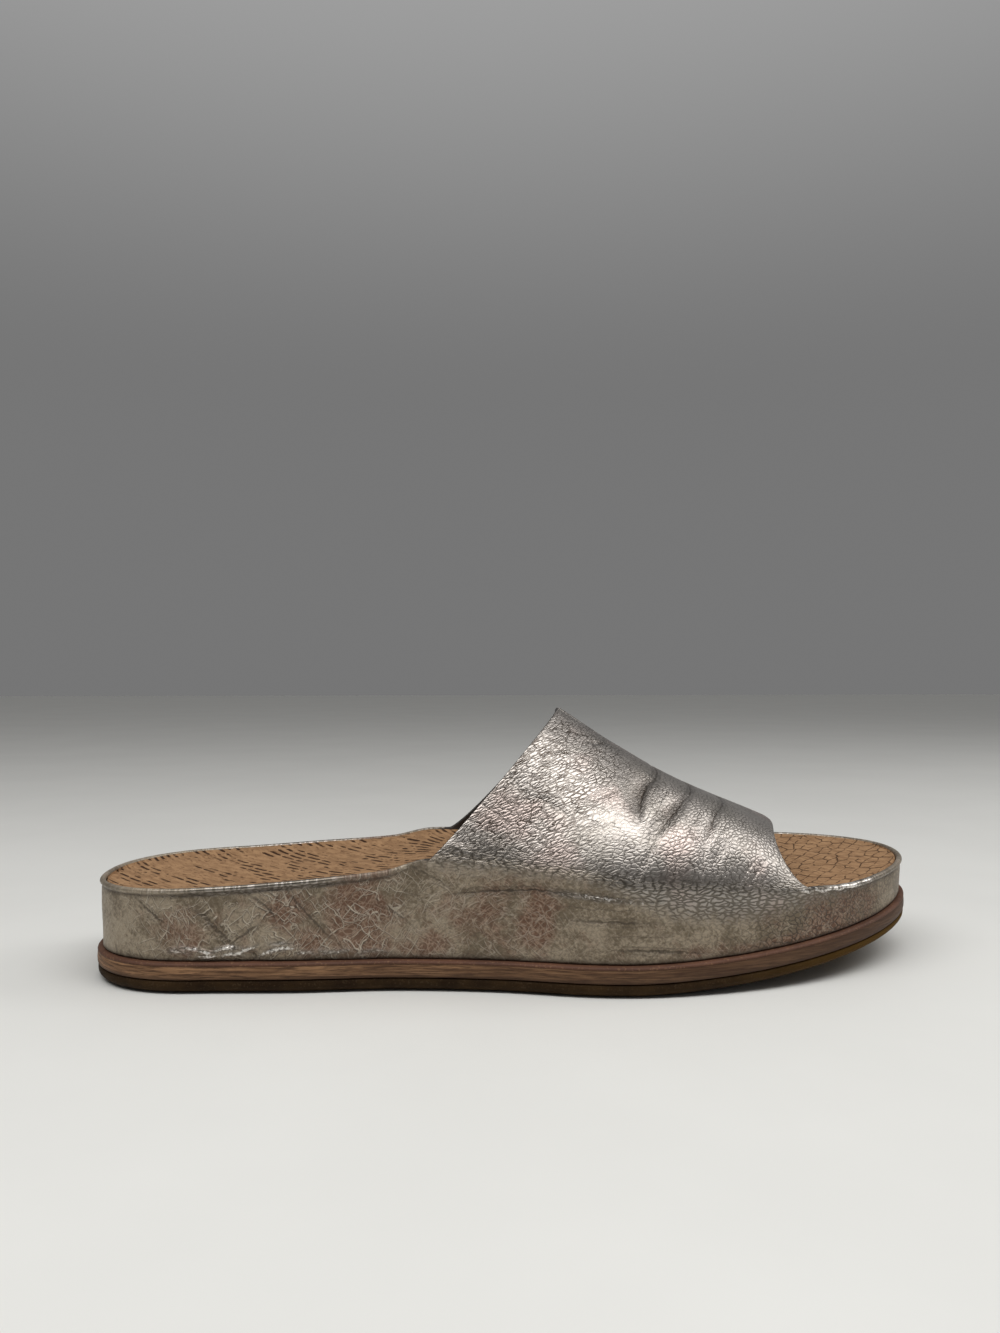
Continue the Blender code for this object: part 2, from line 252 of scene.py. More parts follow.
def tree_of(values):
    """The node tree that the sockets among some values are in."""
    return next(value.id_data for value in values if isinstance(value, bpy.types.NodeSocket))


def calc(operation, *values):
    """Result of a Math node."""
    return add_node(tree_of(values), "Math", dict(enumerate(values)), operation=operation).outputs[0]


def plus(*values):
    return reduce(partial(calc, "ADD"), values)


def minus(first, last):
    return calc("SUBTRACT", first, last)


def times(*values):
    return reduce(partial(calc, "MULTIPLY"), values)


def remap(value, low, high, to_low=0.0, to_high=1.0):
    """A value carried smoothly from one range to another, and held at its ends."""
    ends = {"Value": value, 1: low, 2: high, 3: to_low, 4: to_high}
    return add_node(value.id_data, "MapRange", ends, interpolation_type="SMOOTHSTEP").outputs[0]


def mixed(factor, first, last):
    """Colour between two colours."""
    ends = {0: factor, 6: first, 7: last}
    return add_node(factor.id_data, "Mix", ends, data_type="RGBA").outputs[2]


def noise_at(vector, scale, detail=3.0, roughness=0.55):
    """Value of a noise texture."""
    values = {"Vector": vector, "Scale": scale, "Detail": detail, "Roughness": roughness}
    return add_node(vector.id_data, "TexNoise", values).outputs["Fac"]


def scaled(vector, factor):
    return add_node(vector.id_data, "VectorMath", {0: vector, "Scale": factor}, operation="SCALE").outputs[0]


def place(tree):
    """Coordinates of the piece in millimetres."""
    return scaled(add_node(tree, "TexCoord").outputs["Object"], 1 / MM)


def along_foot(spot):
    """How far a place lies along the foot, towards the toe from the sole's middle."""
    return add_node(spot.id_data, "SeparateXYZ", {0: spot}).outputs[0]


def new_group(name, inputs, outputs):
    """An empty node group with named sockets, and its input and output nodes."""
    tree = bpy.data.node_groups.new(name, "ShaderNodeTree")
    for way, sockets in (("INPUT", inputs), ("OUTPUT", outputs)):
        for label, kind in sockets.items():
            tree.interface.new_socket(label, in_out=way, socket_type="NodeSocket" + kind)
    return tree, tree.nodes.new("NodeGroupInput").outputs, tree.nodes.new("NodeGroupOutput").inputs


def use_group(group, **inputs):
    """A node group placed in the material that its inputs come from."""
    made = tree_of(inputs.values()).nodes.new("ShaderNodeGroup")
    made.node_tree = group
    for name, value in inputs.items():
        if isinstance(value, bpy.types.NodeSocket):
            made.id_data.links.new(value, made.inputs[name])
        else:
            made.inputs[name].default_value = value
    return made.outputs


def new_material(name, **values):
    """A material and its shader, with the values that are the same all over it."""
    material = bpy.data.materials.new(name)
    material.use_nodes = True
    tree = material.node_tree
    shader = tree.nodes["Principled BSDF"]
    for label, value in values.items():
        shader.inputs[label.replace("_", " ")].default_value = value
    return material, tree, shader


def feed(shader, **sockets):
    """Links sockets to a shader's inputs, whose names are written with _ for a space."""
    for label, socket in sockets.items():
        shader.id_data.links.new(socket, shader.inputs[label.replace("_", " ")])


def bumped(height, depth):
    """Normal of a surface whose relief, from 0 to 1, is that deep."""
    values = {"Height": height, "Distance": depth, "Strength": 1.0}
    return add_node(height.id_data, "Bump", values).outputs[0]


def make_mottle():
    """Node group: cloudy drift between two colours, with a fleck of a third."""
    colours = {"Dark": "Color", "Light": "Color", "Fleck": "Color"}
    numbers = {"Cloud": "Float", "Speck": "Float", "Flecks": "Float"}
    tree, given, result = new_group("mottle", {"Vector": "Vector", **colours, **numbers}, {"Colour": "Color"})
    cloud = noise_at(given["Vector"], given["Cloud"], detail=4.0)
    drift = mixed(remap(cloud, 0.3, 0.7), given["Dark"], given["Light"])
    speck = remap(noise_at(given["Vector"], given["Speck"], detail=2.0), 0.56, 0.7)
    flecked = mixed(times(speck, given["Flecks"]), drift, given["Fleck"])
    tree.links.new(flecked, result["Colour"])
    return tree


def make_tooth():
    """Node group: fine uneven relief from 0 to 1, coarse swells with a fine tooth on them."""
    numbers = {"Coarse": "Float", "Fine": "Float", "Share": "Float"}
    tree, given, result = new_group("tooth", {"Vector": "Vector", **numbers}, {"Height": "Float"})
    coarse = noise_at(given["Vector"], given["Coarse"], detail=2.0)
    fine = noise_at(given["Vector"], given["Fine"])
    tree.links.new(plus(coarse, times(minus(fine, coarse), given["Share"])), result["Height"])
    return tree


MOTTLE = make_mottle()
TOOTH = make_tooth()

OUTSOLE_THICKNESS = 3.8 * MM
OUTSOLE_EDGE = 0.3 * MM
OUTSOLE_ROUND = (3.6 * MM, 2.5 * MM)
OUTSOLE_ROUND_STEPS = 9
OUTSOLE_LEAN = Ring(0.2 * MM, 0.5 * MM)
TOE_THINNING = 0.35
RUBBER_DARK = (0.022, 0.011, 0.004, 1)
RUBBER_LIGHT = (0.046, 0.025, 0.009, 1)
RUBBER_TOE = (0.085, 0.042, 0.004, 1)
RUBBER_DUST = (0.11, 0.075, 0.045, 1)
RUBBER_TOOTH = 0.12 * MM
BARE_TOE = (45.0, 120.0)


def outsole_rings():
    """Rings up the outsole's side: a ground round below, and a straight wall that leans in a little."""
    wide, high = OUTSOLE_ROUND
    turns = np.linspace(0, math.pi / 2, OUTSOLE_ROUND_STEPS + 1)
    rounded = [Ring(OUTSOLE_EDGE + wide * (1 - math.sin(a)), high * (1 - math.cos(a))) for a in turns]
    wall = Ring(OUTSOLE_EDGE, OUTSOLE_THICKNESS - OUTSOLE_LEAN.height)
    return [*rounded, wall, Ring(OUTSOLE_EDGE + OUTSOLE_LEAN.inset, OUTSOLE_THICKNESS)]


def rubber():
    material, tree, shader = new_material("rubber", Roughness=0.7, Specular_IOR_Level=0.1)
    spot = place(tree)
    colour = use_group(MOTTLE, Vector=spot, Dark=RUBBER_DARK, Light=RUBBER_LIGHT, Fleck=RUBBER_DUST,
                       Cloud=0.12, Speck=1.6, Flecks=0.35)["Colour"]
    feed(shader, Base_Color=mixed(remap(along_foot(spot), *BARE_TOE), colour, RUBBER_TOE))
    relief = use_group(TOOTH, Vector=spot, Coarse=0.5, Fine=3.0, Share=0.5)["Height"]
    feed(shader, Normal=bumped(relief, RUBBER_TOOTH))
    return material


outsole_points = slab_rows(outsole_rings(), 0.0)
thinned = TOE_THINNING * spring(outsole_points[:, :, 0]) / TOE_SPRING
outsole_top = spring(outsole_points[:, :, 0]) + OUTSOLE_THICKNESS
outsole_points[:, :, 2] += thinned * (outsole_top - outsole_points[:, :, 2])
outsole_faces = quads(grid_of(outsole_points), closed=True)
outsole = make_piece("outsole_rubber", outsole_points.reshape(-1, 3), outsole_faces)
outsole.data.materials.append(rubber())
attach(outsole, "root")
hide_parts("outsole")


# Midsole
# A brown layer of stacked leather board between the rubber and the platform, its edge burnished, with a thin
# reddish rand on top that stands a little proud of the leather band above it.

CLEARANCE = 0.3 * MM
MIDSOLE_BASE = OUTSOLE_THICKNESS + CLEARANCE
MIDSOLE_THICKNESS = 5.1 * MM
RAND_HEIGHT = 4.0 * MM
MIDSOLE_RINGS = (
    Ring(0.55 * MM, 0.0),
    Ring(0.22 * MM, 0.3 * MM),
    Ring(0.05 * MM, 0.9 * MM),
    Ring(0.0, 1.8 * MM),
    Ring(0.05 * MM, 2.8 * MM),
    Ring(0.12 * MM, 3.8 * MM),
    Ring(0.26 * MM, RAND_HEIGHT),
    Ring(0.10 * MM, 4.15 * MM),
    Ring(0.06 * MM, 4.32 * MM),
    Ring(0.14 * MM, 4.55 * MM),
    Ring(0.42 * MM, 4.82 * MM),
    Ring(0.95 * MM, 5.05 * MM),
    Ring(1.6 * MM, MIDSOLE_THICKNESS),
)
BOARD_DARK = (0.170, 0.085, 0.040, 1)
BOARD_LIGHT = (0.380, 0.210, 0.105, 1)
BOARD_LINE = (0.050, 0.022, 0.010, 1)
RAND_RED = (0.130, 0.056, 0.031, 1)
RAND_DARK = (0.085, 0.036, 0.020, 1)

# Length, width and thickness of the board's layers and of its fibres, in millimetres like all shading sizes
BOARD_LAYERS = (18.0, 18.0, 0.7)
BOARD_FIBRES = (8.0, 8.0, 0.4)
BOARD_TOOTH = 0.16 * MM
STREAK_DEPTH = 0.8
BURNISHED_TOE = (-110.0, 110.0, 0.0, 0.8)
BURNISHED_FOOT = (0.0, 1.6, 0.75, 0.0)


def attribute(tree, name, output="Fac"):
    return add_node(tree, "Attribute", attribute_name=name).outputs[output]


def stretched(vector, lengths, turn=0.0):
    """Coordinates that count lengths along each axis, the first two axes being turned about the third."""
    values = {"Vector": vector, "Scale": lengths, "Rotation": (0.0, 0.0, turn)}
    return add_node(vector.id_data, "Mapping", values, vector_type="TEXTURE").outputs["Vector"]


def stacked_board():
    material, tree, shader = new_material("stacked_board", Roughness=0.6, Specular_IOR_Level=0.3)
    spot = place(tree)
    fibres = stretched(spot, BOARD_FIBRES)
    board = use_group(MOTTLE, Vector=stretched(spot, BOARD_LAYERS), Dark=BOARD_DARK, Light=BOARD_LIGHT,
                      Fleck=BOARD_LINE, Cloud=1.0, Speck=4.0, Flecks=0.5)["Colour"]
    rand = use_group(MOTTLE, Vector=spot, Dark=RAND_DARK, Light=RAND_RED, Fleck=BOARD_LIGHT,
                     Cloud=0.09, Speck=1.2, Flecks=0.3)["Colour"]
    height = attribute(tree, "height")
    streak = remap(noise_at(fibres, 1.0, detail=5.0, roughness=0.7), 0.44, 0.62)
    burnished = remap(along_foot(spot), *BURNISHED_TOE), remap(height, *BURNISHED_FOOT)
    for darkness in (times(streak, STREAK_DEPTH), *burnished):
        board = mixed(darkness, board, BOARD_LINE)
    is_rand = remap(height, RAND_HEIGHT / MM - 0.1, RAND_HEIGHT / MM + 0.15)
    feed(shader, Base_Color=mixed(is_rand, board, rand))
    relief = use_group(TOOTH, Vector=fibres, Coarse=0.6, Fine=1.6, Share=0.5)["Height"]
    feed(shader, Normal=bumped(relief, BOARD_TOOTH))
    return material


midsole_points = slab_rows(MIDSOLE_RINGS, MIDSOLE_BASE)
midsole_faces = quads(grid_of(midsole_points), closed=True)
midsole_points = midsole_points.reshape(-1, 3)
midsole_heights = (midsole_points[:, 2] - spring(midsole_points[:, 0]) - MIDSOLE_BASE) / MM
midsole = make_piece("midsole_board", midsole_points, midsole_faces, height=midsole_heights)
midsole.data.materials.append(stacked_board())
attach(midsole, "root")
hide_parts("midsole")


# Footbed
# The cork platform that the leather is lasted over. Its top is dished for the foot and covered with a sheet
# of natural cork: warm tan, with short dark slits in rows that run askew over the foot, cracked at the toe.

UPPER_BASE = MIDSOLE_BASE + MIDSOLE_THICKNESS + CLEARANCE
RimSection = namedtuple("RimSection", "station lateral medial")
RIM_SECTIONS = (
    RimSection(0.00, 30.2 * MM, 30.2 * MM),
    RimSection(0.14, 31.0 * MM, 31.7 * MM),
    RimSection(0.25, 33.2 * MM, 33.8 * MM),
    RimSection(0.34, 35.6 * MM, 35.8 * MM),
    RimSection(0.39, 38.8 * MM, 38.3 * MM),
    RimSection(0.50, 35.5 * MM, 36.5 * MM),
    RimSection(0.62, 31.5 * MM, 33.5 * MM),
    RimSection(0.76, 29.4 * MM, 32.4 * MM),
    RimSection(0.88, 29.0 * MM, 32.2 * MM),
    RimSection(1.00, 31.6 * MM, 31.6 * MM),
)
DishSection = namedtuple("DishSection", "station depth")
DISH_SECTIONS = (
    DishSection(0.00, 0.6 * MM),
    DishSection(0.14, 2.2 * MM),
    DishSection(0.40, 2.6 * MM),
    DishSection(0.65, 2.0 * MM),
    DishSection(1.00, 0.5 * MM),
)
CORK_INSET = 2.75 * MM
CORK_BELOW_RIM = 0.35 * MM
CORK_ROUND = 0.5 * MM
CORK_STEPS = 56
CORK_TAN = (0.265, 0.150, 0.075, 1)
CORK_PALE = (0.390, 0.230, 0.118, 1)
CORK_BROWN = (0.130, 0.062, 0.028, 1)
CORK_SLIT = (0.042, 0.018, 0.007, 1)
SLIT_TURN = math.radians(-52)
CRACK_TURN = math.radians(53)
CRACKED_TOE = (45.0, 75.0)
CORK_GRAIN = (3.0, 1.0, 1.0)
SLIT_CLUSTER = (34.0, 9.0, 1.0)
CRACK_BLOCKS = (9.0, 3.6, 1.0)
CRACK_DEPTH = 0.85
CORK_TOOTH = 0.2 * MM


def rim_height(side):
    return smooth(RIM_SECTIONS, side, STATIONS[side] / LENGTH)


def cork_rows():
    """Sections of the footbed: up its outer wall, across its dished top and down its inner wall."""
    walls, tops = {}, {}
    for side in SIDE_SIGN:
        edge, top = moved_in(side, CORK_INSET), moved_in(side, CORK_INSET + CORK_ROUND)
        height = rim_height(side) - CORK_BELOW_RIM
        foot = np.column_stack([edge, spring(edge[:, 0]) + UPPER_BASE])
        walls[side] = np.stack([foot, np.column_stack([edge, height - CORK_ROUND])], 1)
        tops[side] = np.column_stack([top, height])
    share = np.linspace(0, 1, CORK_STEPS + 1)[None, :, None]
    top = tops["lateral"][:, None] * (1 - share) + tops["medial"][:, None] * share
    dish = smooth(DISH_SECTIONS, "depth", top[:, :, 0] / LENGTH)
    top[1:-1, :, 2] -= (dish * (1 - (2 * share[:, :, 0] - 1) ** 4))[1:-1]
    return np.concatenate([walls["lateral"], top, walls["medial"][:, ::-1]], 1)


def most(*values):
    return reduce(partial(calc, "MAXIMUM"), values)


def blend(factor, first, last):
    """Number between two numbers."""
    return add_node(factor.id_data, "Mix", {0: factor, 2: first, 3: last}, data_type="FLOAT").outputs[0]


def to_cell_edge(vector, loose):
    """Distance from the edge of a flat net of cells, which lie the more loosely the nearer loose is to 1."""
    values = {"Vector": vector, "Scale": 1.0, "Randomness": loose}
    settings = {"feature": "DISTANCE_TO_EDGE", "voronoi_dimensions": "2D"}
    return add_node(vector.id_data, "TexVoronoi", values, **settings).outputs["Distance"]


def make_slits():
    """Node group: short slits in rows. Puts out how far a place lies in a slit, from 0 to 1."""
    numbers = {"Row": "Float", "Length": "Float", "Width": "Float", "Chance": "Float"}
    tree, given, result = new_group("slits", {"Vector": "Vector", **numbers}, {"Slit": "Float"})
    split = add_node(tree, "SeparateXYZ", {0: given["Vector"]}).outputs
    row = calc("DIVIDE", split[1], given["Row"])
    number = calc("FLOOR", row)
    shift = add_node(tree, "TexWhiteNoise", {"W": number}, noise_dimensions="1D").outputs["Value"]
    cell = plus(calc("DIVIDE", split[0], given["Length"]), times(shift, 7.0))
    spot = add_node(tree, "CombineXYZ", {0: calc("FLOOR", cell), 1: number}).outputs[0]
    luck = add_node(tree, "TexWhiteNoise", {"Vector": spot}, noise_dimensions="2D").outputs["Value"]
    across = calc("ABSOLUTE", minus(calc("FRACT", row), 0.5))
    ends = calc("ABSOLUTE", minus(calc("FRACT", cell), 0.5))
    reach = remap(ends, 0.30, 0.46, 1.0, 0.0)
    width = most(times(given["Width"], reach), 0.001)
    inside = minus(1.0, calc("DIVIDE", across, width))
    drawn = calc("LESS_THAN", luck, given["Chance"])
    tree.links.new(times(remap(inside, 0.0, 0.5), drawn), result["Slit"])
    return tree


def make_cracks():
    """Node group: a net of thin cracks between cells. Puts out 1 on a crack and 0 inside a cell."""
    numbers = {"Width": "Float", "Loose": "Float"}
    tree, given, result = new_group("cracks", {"Vector": "Vector", **numbers}, {"Crack": "Float"})
    distance = to_cell_edge(given["Vector"], given["Loose"])
    tree.links.new(remap(calc("DIVIDE", distance, given["Width"]), 0.3, 1.0, 1.0, 0.0), result["Crack"])
    return tree


SLITS = make_slits()
CRACKS = make_cracks()


def swayed(vector, scale, reach):
    """Coordinates that wander to and fro, as far as reach."""
    values = {"Vector": vector, "Scale": scale, "Detail": 2.0}
    drift = scaled(add_node(vector.id_data, "TexNoise", values).outputs["Color"], reach)
    return add_node(vector.id_data, "VectorMath", {0: vector, 1: drift}, operation="ADD").outputs[0]


def cork():
    material, tree, shader = new_material("cork", Roughness=0.72, Specular_IOR_Level=0.15)
    spot = place(tree)
    rows = stretched(swayed(spot, 0.05, 3.0), (1.0, 1.0, 1.0), SLIT_TURN)
    sheet = use_group(MOTTLE, Vector=stretched(rows, CORK_GRAIN), Dark=CORK_TAN, Light=CORK_PALE,
                      Fleck=CORK_BROWN, Cloud=0.5, Speck=1.1, Flecks=0.75)["Colour"]
    slit = use_group(SLITS, Vector=rows, Row=2.4, Length=9.0, Width=0.27, Chance=0.8)["Slit"]
    clustered = remap(noise_at(stretched(rows, SLIT_CLUSTER), 1.0), 0.46, 0.54)
    blocks = stretched(swayed(spot, 0.25, 1.2), CRACK_BLOCKS, CRACK_TURN)
    crack = use_group(CRACKS, Vector=blocks, Width=0.08, Loose=0.6)["Crack"]
    open_here = remap(noise_at(spot, 0.3, detail=4.0), 0.34, 0.56)
    toe = remap(along_foot(spot), *CRACKED_TOE)
    mark = blend(toe, times(slit, clustered), times(crack, open_here, CRACK_DEPTH))
    feed(shader, Base_Color=mixed(mark, sheet, CORK_SLIT))
    grain = use_group(TOOTH, Vector=spot, Coarse=0.9, Fine=3.0, Share=0.5)["Height"]
    feed(shader, Normal=bumped(minus(grain, mark), CORK_TOOTH))
    return material


footbed_points = cork_rows()
footbed_faces = quads(grid_of(footbed_points), closed=True)
footbed = make_piece("footbed_cork", footbed_points.reshape(-1, 3), footbed_faces)
footbed.data.materials.append(cork())
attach(footbed, "root")
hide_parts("footbed")


# Upper
# One piece of foil-coated leather, lasted over the footbed: a band round the platform's side, its free rim
# rolled into a bead at heel and toe, that runs up without a seam into the broad strap over the instep. The
# strap is lined, its cut edges are inked dark, and wear has pressed creases across it.

INSTEP_HEIGHT = 82 * MM
TOE_HEIGHT = 44.4 * MM
CROWN_BACK = 0.547 * LENGTH
CROWN_FRONT = 0.817 * LENGTH
STRAP_SWEEP = 0.85
CUT_SKEW = 1.3
CUT_POWER = 0.6
FLANK_STEPS = 100
FLANK_CROWD = 2.2

# Crown of the strap from its back edge (along 0) to its front edge (1): rise is its share of the drop from
# INSTEP_HEIGHT to TOE_HEIGHT, and shift moves it to the inner side
CrownSection = namedtuple("CrownSection", "along rise shift")
CROWN_SECTIONS = (
    CrownSection(0.00, 1.000, 5.0 * MM),
    CrownSection(0.25, 0.695, 6.5 * MM),
    CrownSection(0.50, 0.419, 8.5 * MM),
    CrownSection(0.75, 0.200, 11.0 * MM),
    CrownSection(1.00, 0.000, 13.0 * MM),
)

# Flanks of the strap: steep bends each section between a quarter ellipse (1) and a flat slope (2), lean is 1
# for a flank that leans in from its foot and less for one that stands upright under a flat top, and cut draws
# the flank between foot and crown back towards the heel
FlankSection = namedtuple("FlankSection", "along steep lean cut")
FLANK_SECTIONS = {
    "lateral": (
        FlankSection(0.00, 1.75, 0.85, 0.0 * MM),
        FlankSection(0.25, 1.70, 0.72, 0.0 * MM),
        FlankSection(0.50, 1.62, 0.54, 0.5 * MM),
        FlankSection(0.75, 1.55, 0.42, 3.2 * MM),
        FlankSection(1.00, 1.45, 0.35, 8.0 * MM),
    ),
    "medial": (
        FlankSection(0.00, 1.65, 0.90, -5.0 * MM),
        FlankSection(0.25, 1.60, 0.80, -3.0 * MM),
        FlankSection(0.50, 1.50, 0.70, -0.5 * MM),
        FlankSection(0.75, 1.40, 0.60, 1.5 * MM),
        FlankSection(1.00, 1.30, 0.52, 3.0 * MM),
    ),
}

# The band leans out a little from a ledge on the midsole. Its free rim is a round bead over a groove.
UPPER_WALL = 1.6 * MM
BAND_LEDGE = 1.7 * MM
BAND_FLARE = 0.6 * MM
BAND_LOWER_LEVELS = 36
BEAD_RADIUS = 0.95 * MM
BEAD_PROUD = 0.5 * MM
BEAD_FADE = 14 * MM
BandLevel = namedtuple("BandLevel", "depth bead")
BAND_TOP_LEVELS = (
    BandLevel(5.5 * MM, 0.0 * MM),
    BandLevel(4.2 * MM, 0.0 * MM),
    BandLevel(3.1 * MM, -0.04 * MM),
    BandLevel(2.4 * MM, -0.16 * MM),
    BandLevel(2.0 * MM, -0.30 * MM),
    BandLevel(1.75 * MM, -0.20 * MM),
    BandLevel(1.55 * MM, 0.12 * MM),
    BandLevel(1.25 * MM, 0.40 * MM),
    BandLevel(BEAD_RADIUS, BEAD_PROUD),
)
EDGE_STEPS = 8
CUT_BULGE = 0.25 * MM
CUT_FREE = 0.02
STRAP_RUN = 95 * MM
EASE_ROWS = 10
EASE_COLUMNS = 9
EASE_ROUNDS = 24
EASE_LEVEL = 1.3
INNER_SHARES = (0.0, 0.35, 0.7, 1.0)
UNDER_STRAP = slice(HEEL_STEPS, HEEL_STEPS + STRAP_STEPS + 1)

# Creases across the strap, each a path through three places, in shares along the strap and across it from
# the outer foot (0) over the crown (0.5), with its depth, its half width on the toe side and how many times
# wider it trails off towards the heel. A negative depth is a ridge.
Crease = namedtuple("Crease", "along_a across_a along_b across_b along_c across_c depth half_width trail")
STRAP_CREASES = (
    Crease(0.455, 0.520, 0.432, 0.430, 0.418, 0.375, 0.8 * MM, 0.9 * MM, 2.2),
    Crease(0.422, 0.405, 0.400, 0.335, 0.420, 0.268, 1.7 * MM, 1.1 * MM, 4.2),
    Crease(0.440, 0.400, 0.430, 0.340, 0.445, 0.300, 0.25 * MM, 0.8 * MM, 1.2),
    Crease(0.610, 0.515, 0.582, 0.440, 0.562, 0.390, 0.8 * MM, 0.9 * MM, 2.2),
    Crease(0.566, 0.405, 0.528, 0.325, 0.492, 0.215, 1.1 * MM, 1.0 * MM, 4.0),
    Crease(0.520, 0.360, 0.500, 0.310, 0.470, 0.240, 0.3 * MM, 0.8 * MM, 1.4),
    Crease(0.560, 0.355, 0.535, 0.290, 0.520, 0.235, 0.25 * MM, 0.8 * MM, 1.2),
    Crease(0.492, 0.225, 0.500, 0.180, 0.508, 0.120, 0.30 * MM, 0.9 * MM, 1.4),
    Crease(0.762, 0.515, 0.728, 0.440, 0.702, 0.390, 0.6 * MM, 0.9 * MM, 1.8),
    Crease(0.708, 0.400, 0.682, 0.345, 0.662, 0.245, 0.5 * MM, 0.9 * MM, 3.0),
    Crease(0.661, 0.255, 0.664, 0.215, 0.674, 0.160, 0.25 * MM, 0.8 * MM, 1.4),
    Crease(0.750, 0.262, 0.728, 0.212, 0.700, 0.150, 0.22 * MM, 0.9 * MM, 2.4),
    Crease(0.600, 0.330, 0.612, 0.290, 0.628, 0.245, 0.25 * MM, 2.4 * MM, 1.0),
    Crease(0.890, 0.215, 0.838, 0.130, 0.800, 0.020, -0.13 * MM, 0.7 * MM, 1.0),
    Crease(0.860, 0.190, 0.815, 0.120, 0.785, 0.030, 0.13 * MM, 0.7 * MM, 1.0),
    Crease(0.938, 0.205, 0.868, 0.115, 0.830, 0.020, -0.13 * MM, 0.7 * MM, 1.0),
    Crease(0.915, 0.200, 0.853, 0.122, 0.816, 0.030, 0.13 * MM, 0.7 * MM, 1.0),
    Crease(0.985, 0.280, 0.950, 0.190, 0.900, 0.080, -0.12 * MM, 0.9 * MM, 1.0),
    Crease(0.222, 0.465, 0.202, 0.425, 0.150, 0.405, 0.35 * MM, 0.8 * MM, 1.4),
    Crease(0.262, 0.250, 0.285, 0.264, 0.312, 0.300, 0.20 * MM, 0.9 * MM, 1.2),
    Crease(0.130, 0.222, 0.190, 0.222, 0.262, 0.196, 0.22 * MM, 0.7 * MM, 1.2),
    Crease(0.000, 0.187, 0.060, 0.175, 0.125, 0.150, 0.22 * MM, 0.7 * MM, 1.2),
    Crease(0.010, 0.250, 0.070, 0.235, 0.140, 0.205, 0.20 * MM, 0.7 * MM, 1.2),
    Crease(0.000, 0.095, 0.040, 0.070, 0.100, 0.040, -0.35 * MM, 1.4 * MM, 1.0),
    Crease(0.020, 0.060, 0.070, 0.040, 0.140, 0.025, 0.30 * MM, 0.9 * MM, 1.2),
    Crease(0.330, 0.760, 0.400, 0.680, 0.450, 0.580, 0.9 * MM, 1.2 * MM, 3.0),
    Crease(0.520, 0.760, 0.560, 0.670, 0.600, 0.580, 0.9 * MM, 1.2 * MM, 3.0),
    Crease(0.690, 0.740, 0.720, 0.660, 0.750, 0.580, 0.6 * MM, 1.1 * MM, 2.6),
)

# Creases along the band on the outer side: stations in millimetres and shares of the band's height
BandCrease = namedtuple("BandCrease", "x_a up_a x_b up_b x_c up_c depth half_width trail", defaults=(1.0,))
BAND_CREASES = (
    BandCrease(112, 0.66, 133, 0.78, 166, 0.89, 0.75 * MM, 0.8 * MM),
    BandCrease(140, 0.79, 152, 0.82, 172, 0.80, -0.4 * MM, 0.9 * MM),
    BandCrease(160, 0.175, 170, 0.165, 186, 0.09, 0.5 * MM, 0.8 * MM),
    BandCrease(146, 0.52, 156, 0.53, 172, 0.55, 0.4 * MM, 0.8 * MM),
    BandCrease(98, 1.00, 104, 0.86, 112, 0.70, 0.35 * MM, 0.8 * MM),
    BandCrease(89, 0.62, 95, 0.50, 100, 0.34, 0.25 * MM, 0.7 * MM),
    BandCrease(28, 0.12, 31, 0.14, 35, 0.09, -0.4 * MM, 0.8 * MM),
    BandCrease(31, 0.20, 35, 0.17, 40, 0.12, -0.4 * MM, 0.7 * MM),
    BandCrease(36, 0.16, 39, 0.13, 42, 0.06, -0.7 * MM, 0.8 * MM),
    BandCrease(37, 0.07, 40, 0.05, 43, 0.09, -0.5 * MM, 0.7 * MM),
    BandCrease(41, 0.10, 45, 0.17, 50, 0.15, -0.8 * MM, 0.8 * MM),
    BandCrease(44, 0.05, 47, 0.09, 51, 0.06, -0.6 * MM, 0.7 * MM),
    BandCrease(48, 0.08, 51, 0.14, 55, 0.20, -0.7 * MM, 0.7 * MM),
    BandCrease(55, 0.05, 60, 0.14, 66, 0.15, -0.6 * MM, 0.8 * MM),
    BandCrease(57, 0.20, 61, 0.22, 65, 0.19, -0.3 * MM, 0.7 * MM),
    BandCrease(66, 0.07, 69, 0.10, 72, 0.05, -0.4 * MM, 0.7 * MM),
    BandCrease(72, 0.12, 76, 0.09, 82, 0.11, -0.4 * MM, 0.8 * MM),
    BandCrease(84, 0.06, 88, 0.09, 94, 0.06, -0.3 * MM, 0.7 * MM),
    BandCrease(53, 0.00, 54, 0.06, 52, 0.12, 0.6 * MM, 0.9 * MM),
    BandCrease(36, 0.70, 41, 0.48, 45, 0.22, 0.45 * MM, 0.5 * MM),
    BandCrease(38, 0.68, 43, 0.42, 48, 0.16, 0.45 * MM, 0.5 * MM),
    BandCrease(46, 0.20, 51, 0.36, 55, 0.47, 0.45 * MM, 0.5 * MM),
    BandCrease(18, 0.86, 23, 0.66, 27, 0.52, 0.45 * MM, 0.5 * MM),
    BandCrease(63, 0.92, 69, 0.58, 76, 0.27, 0.45 * MM, 0.5 * MM),
    BandCrease(52, 0.86, 57, 0.70, 60, 0.50, 0.45 * MM, 0.5 * MM),
    BandCrease(216, 0.99, 219, 0.94, 221, 0.87, -0.5 * MM, 0.8 * MM),
    BandCrease(221, 0.99, 224, 0.93, 227, 0.84, -0.6 * MM, 0.8 * MM),
    BandCrease(224, 0.90, 227, 0.95, 231, 0.96, -0.5 * MM, 0.8 * MM),
    BandCrease(228, 0.99, 231, 0.91, 234, 0.86, -0.6 * MM, 0.8 * MM),
    BandCrease(231, 0.95, 234, 0.94, 238, 0.97, -0.5 * MM, 0.7 * MM),
    BandCrease(235, 0.99, 237, 0.93, 241, 0.88, -0.5 * MM, 0.8 * MM),
    BandCrease(240, 0.97, 243, 0.93, 246, 0.95, -0.4 * MM, 0.7 * MM),
)
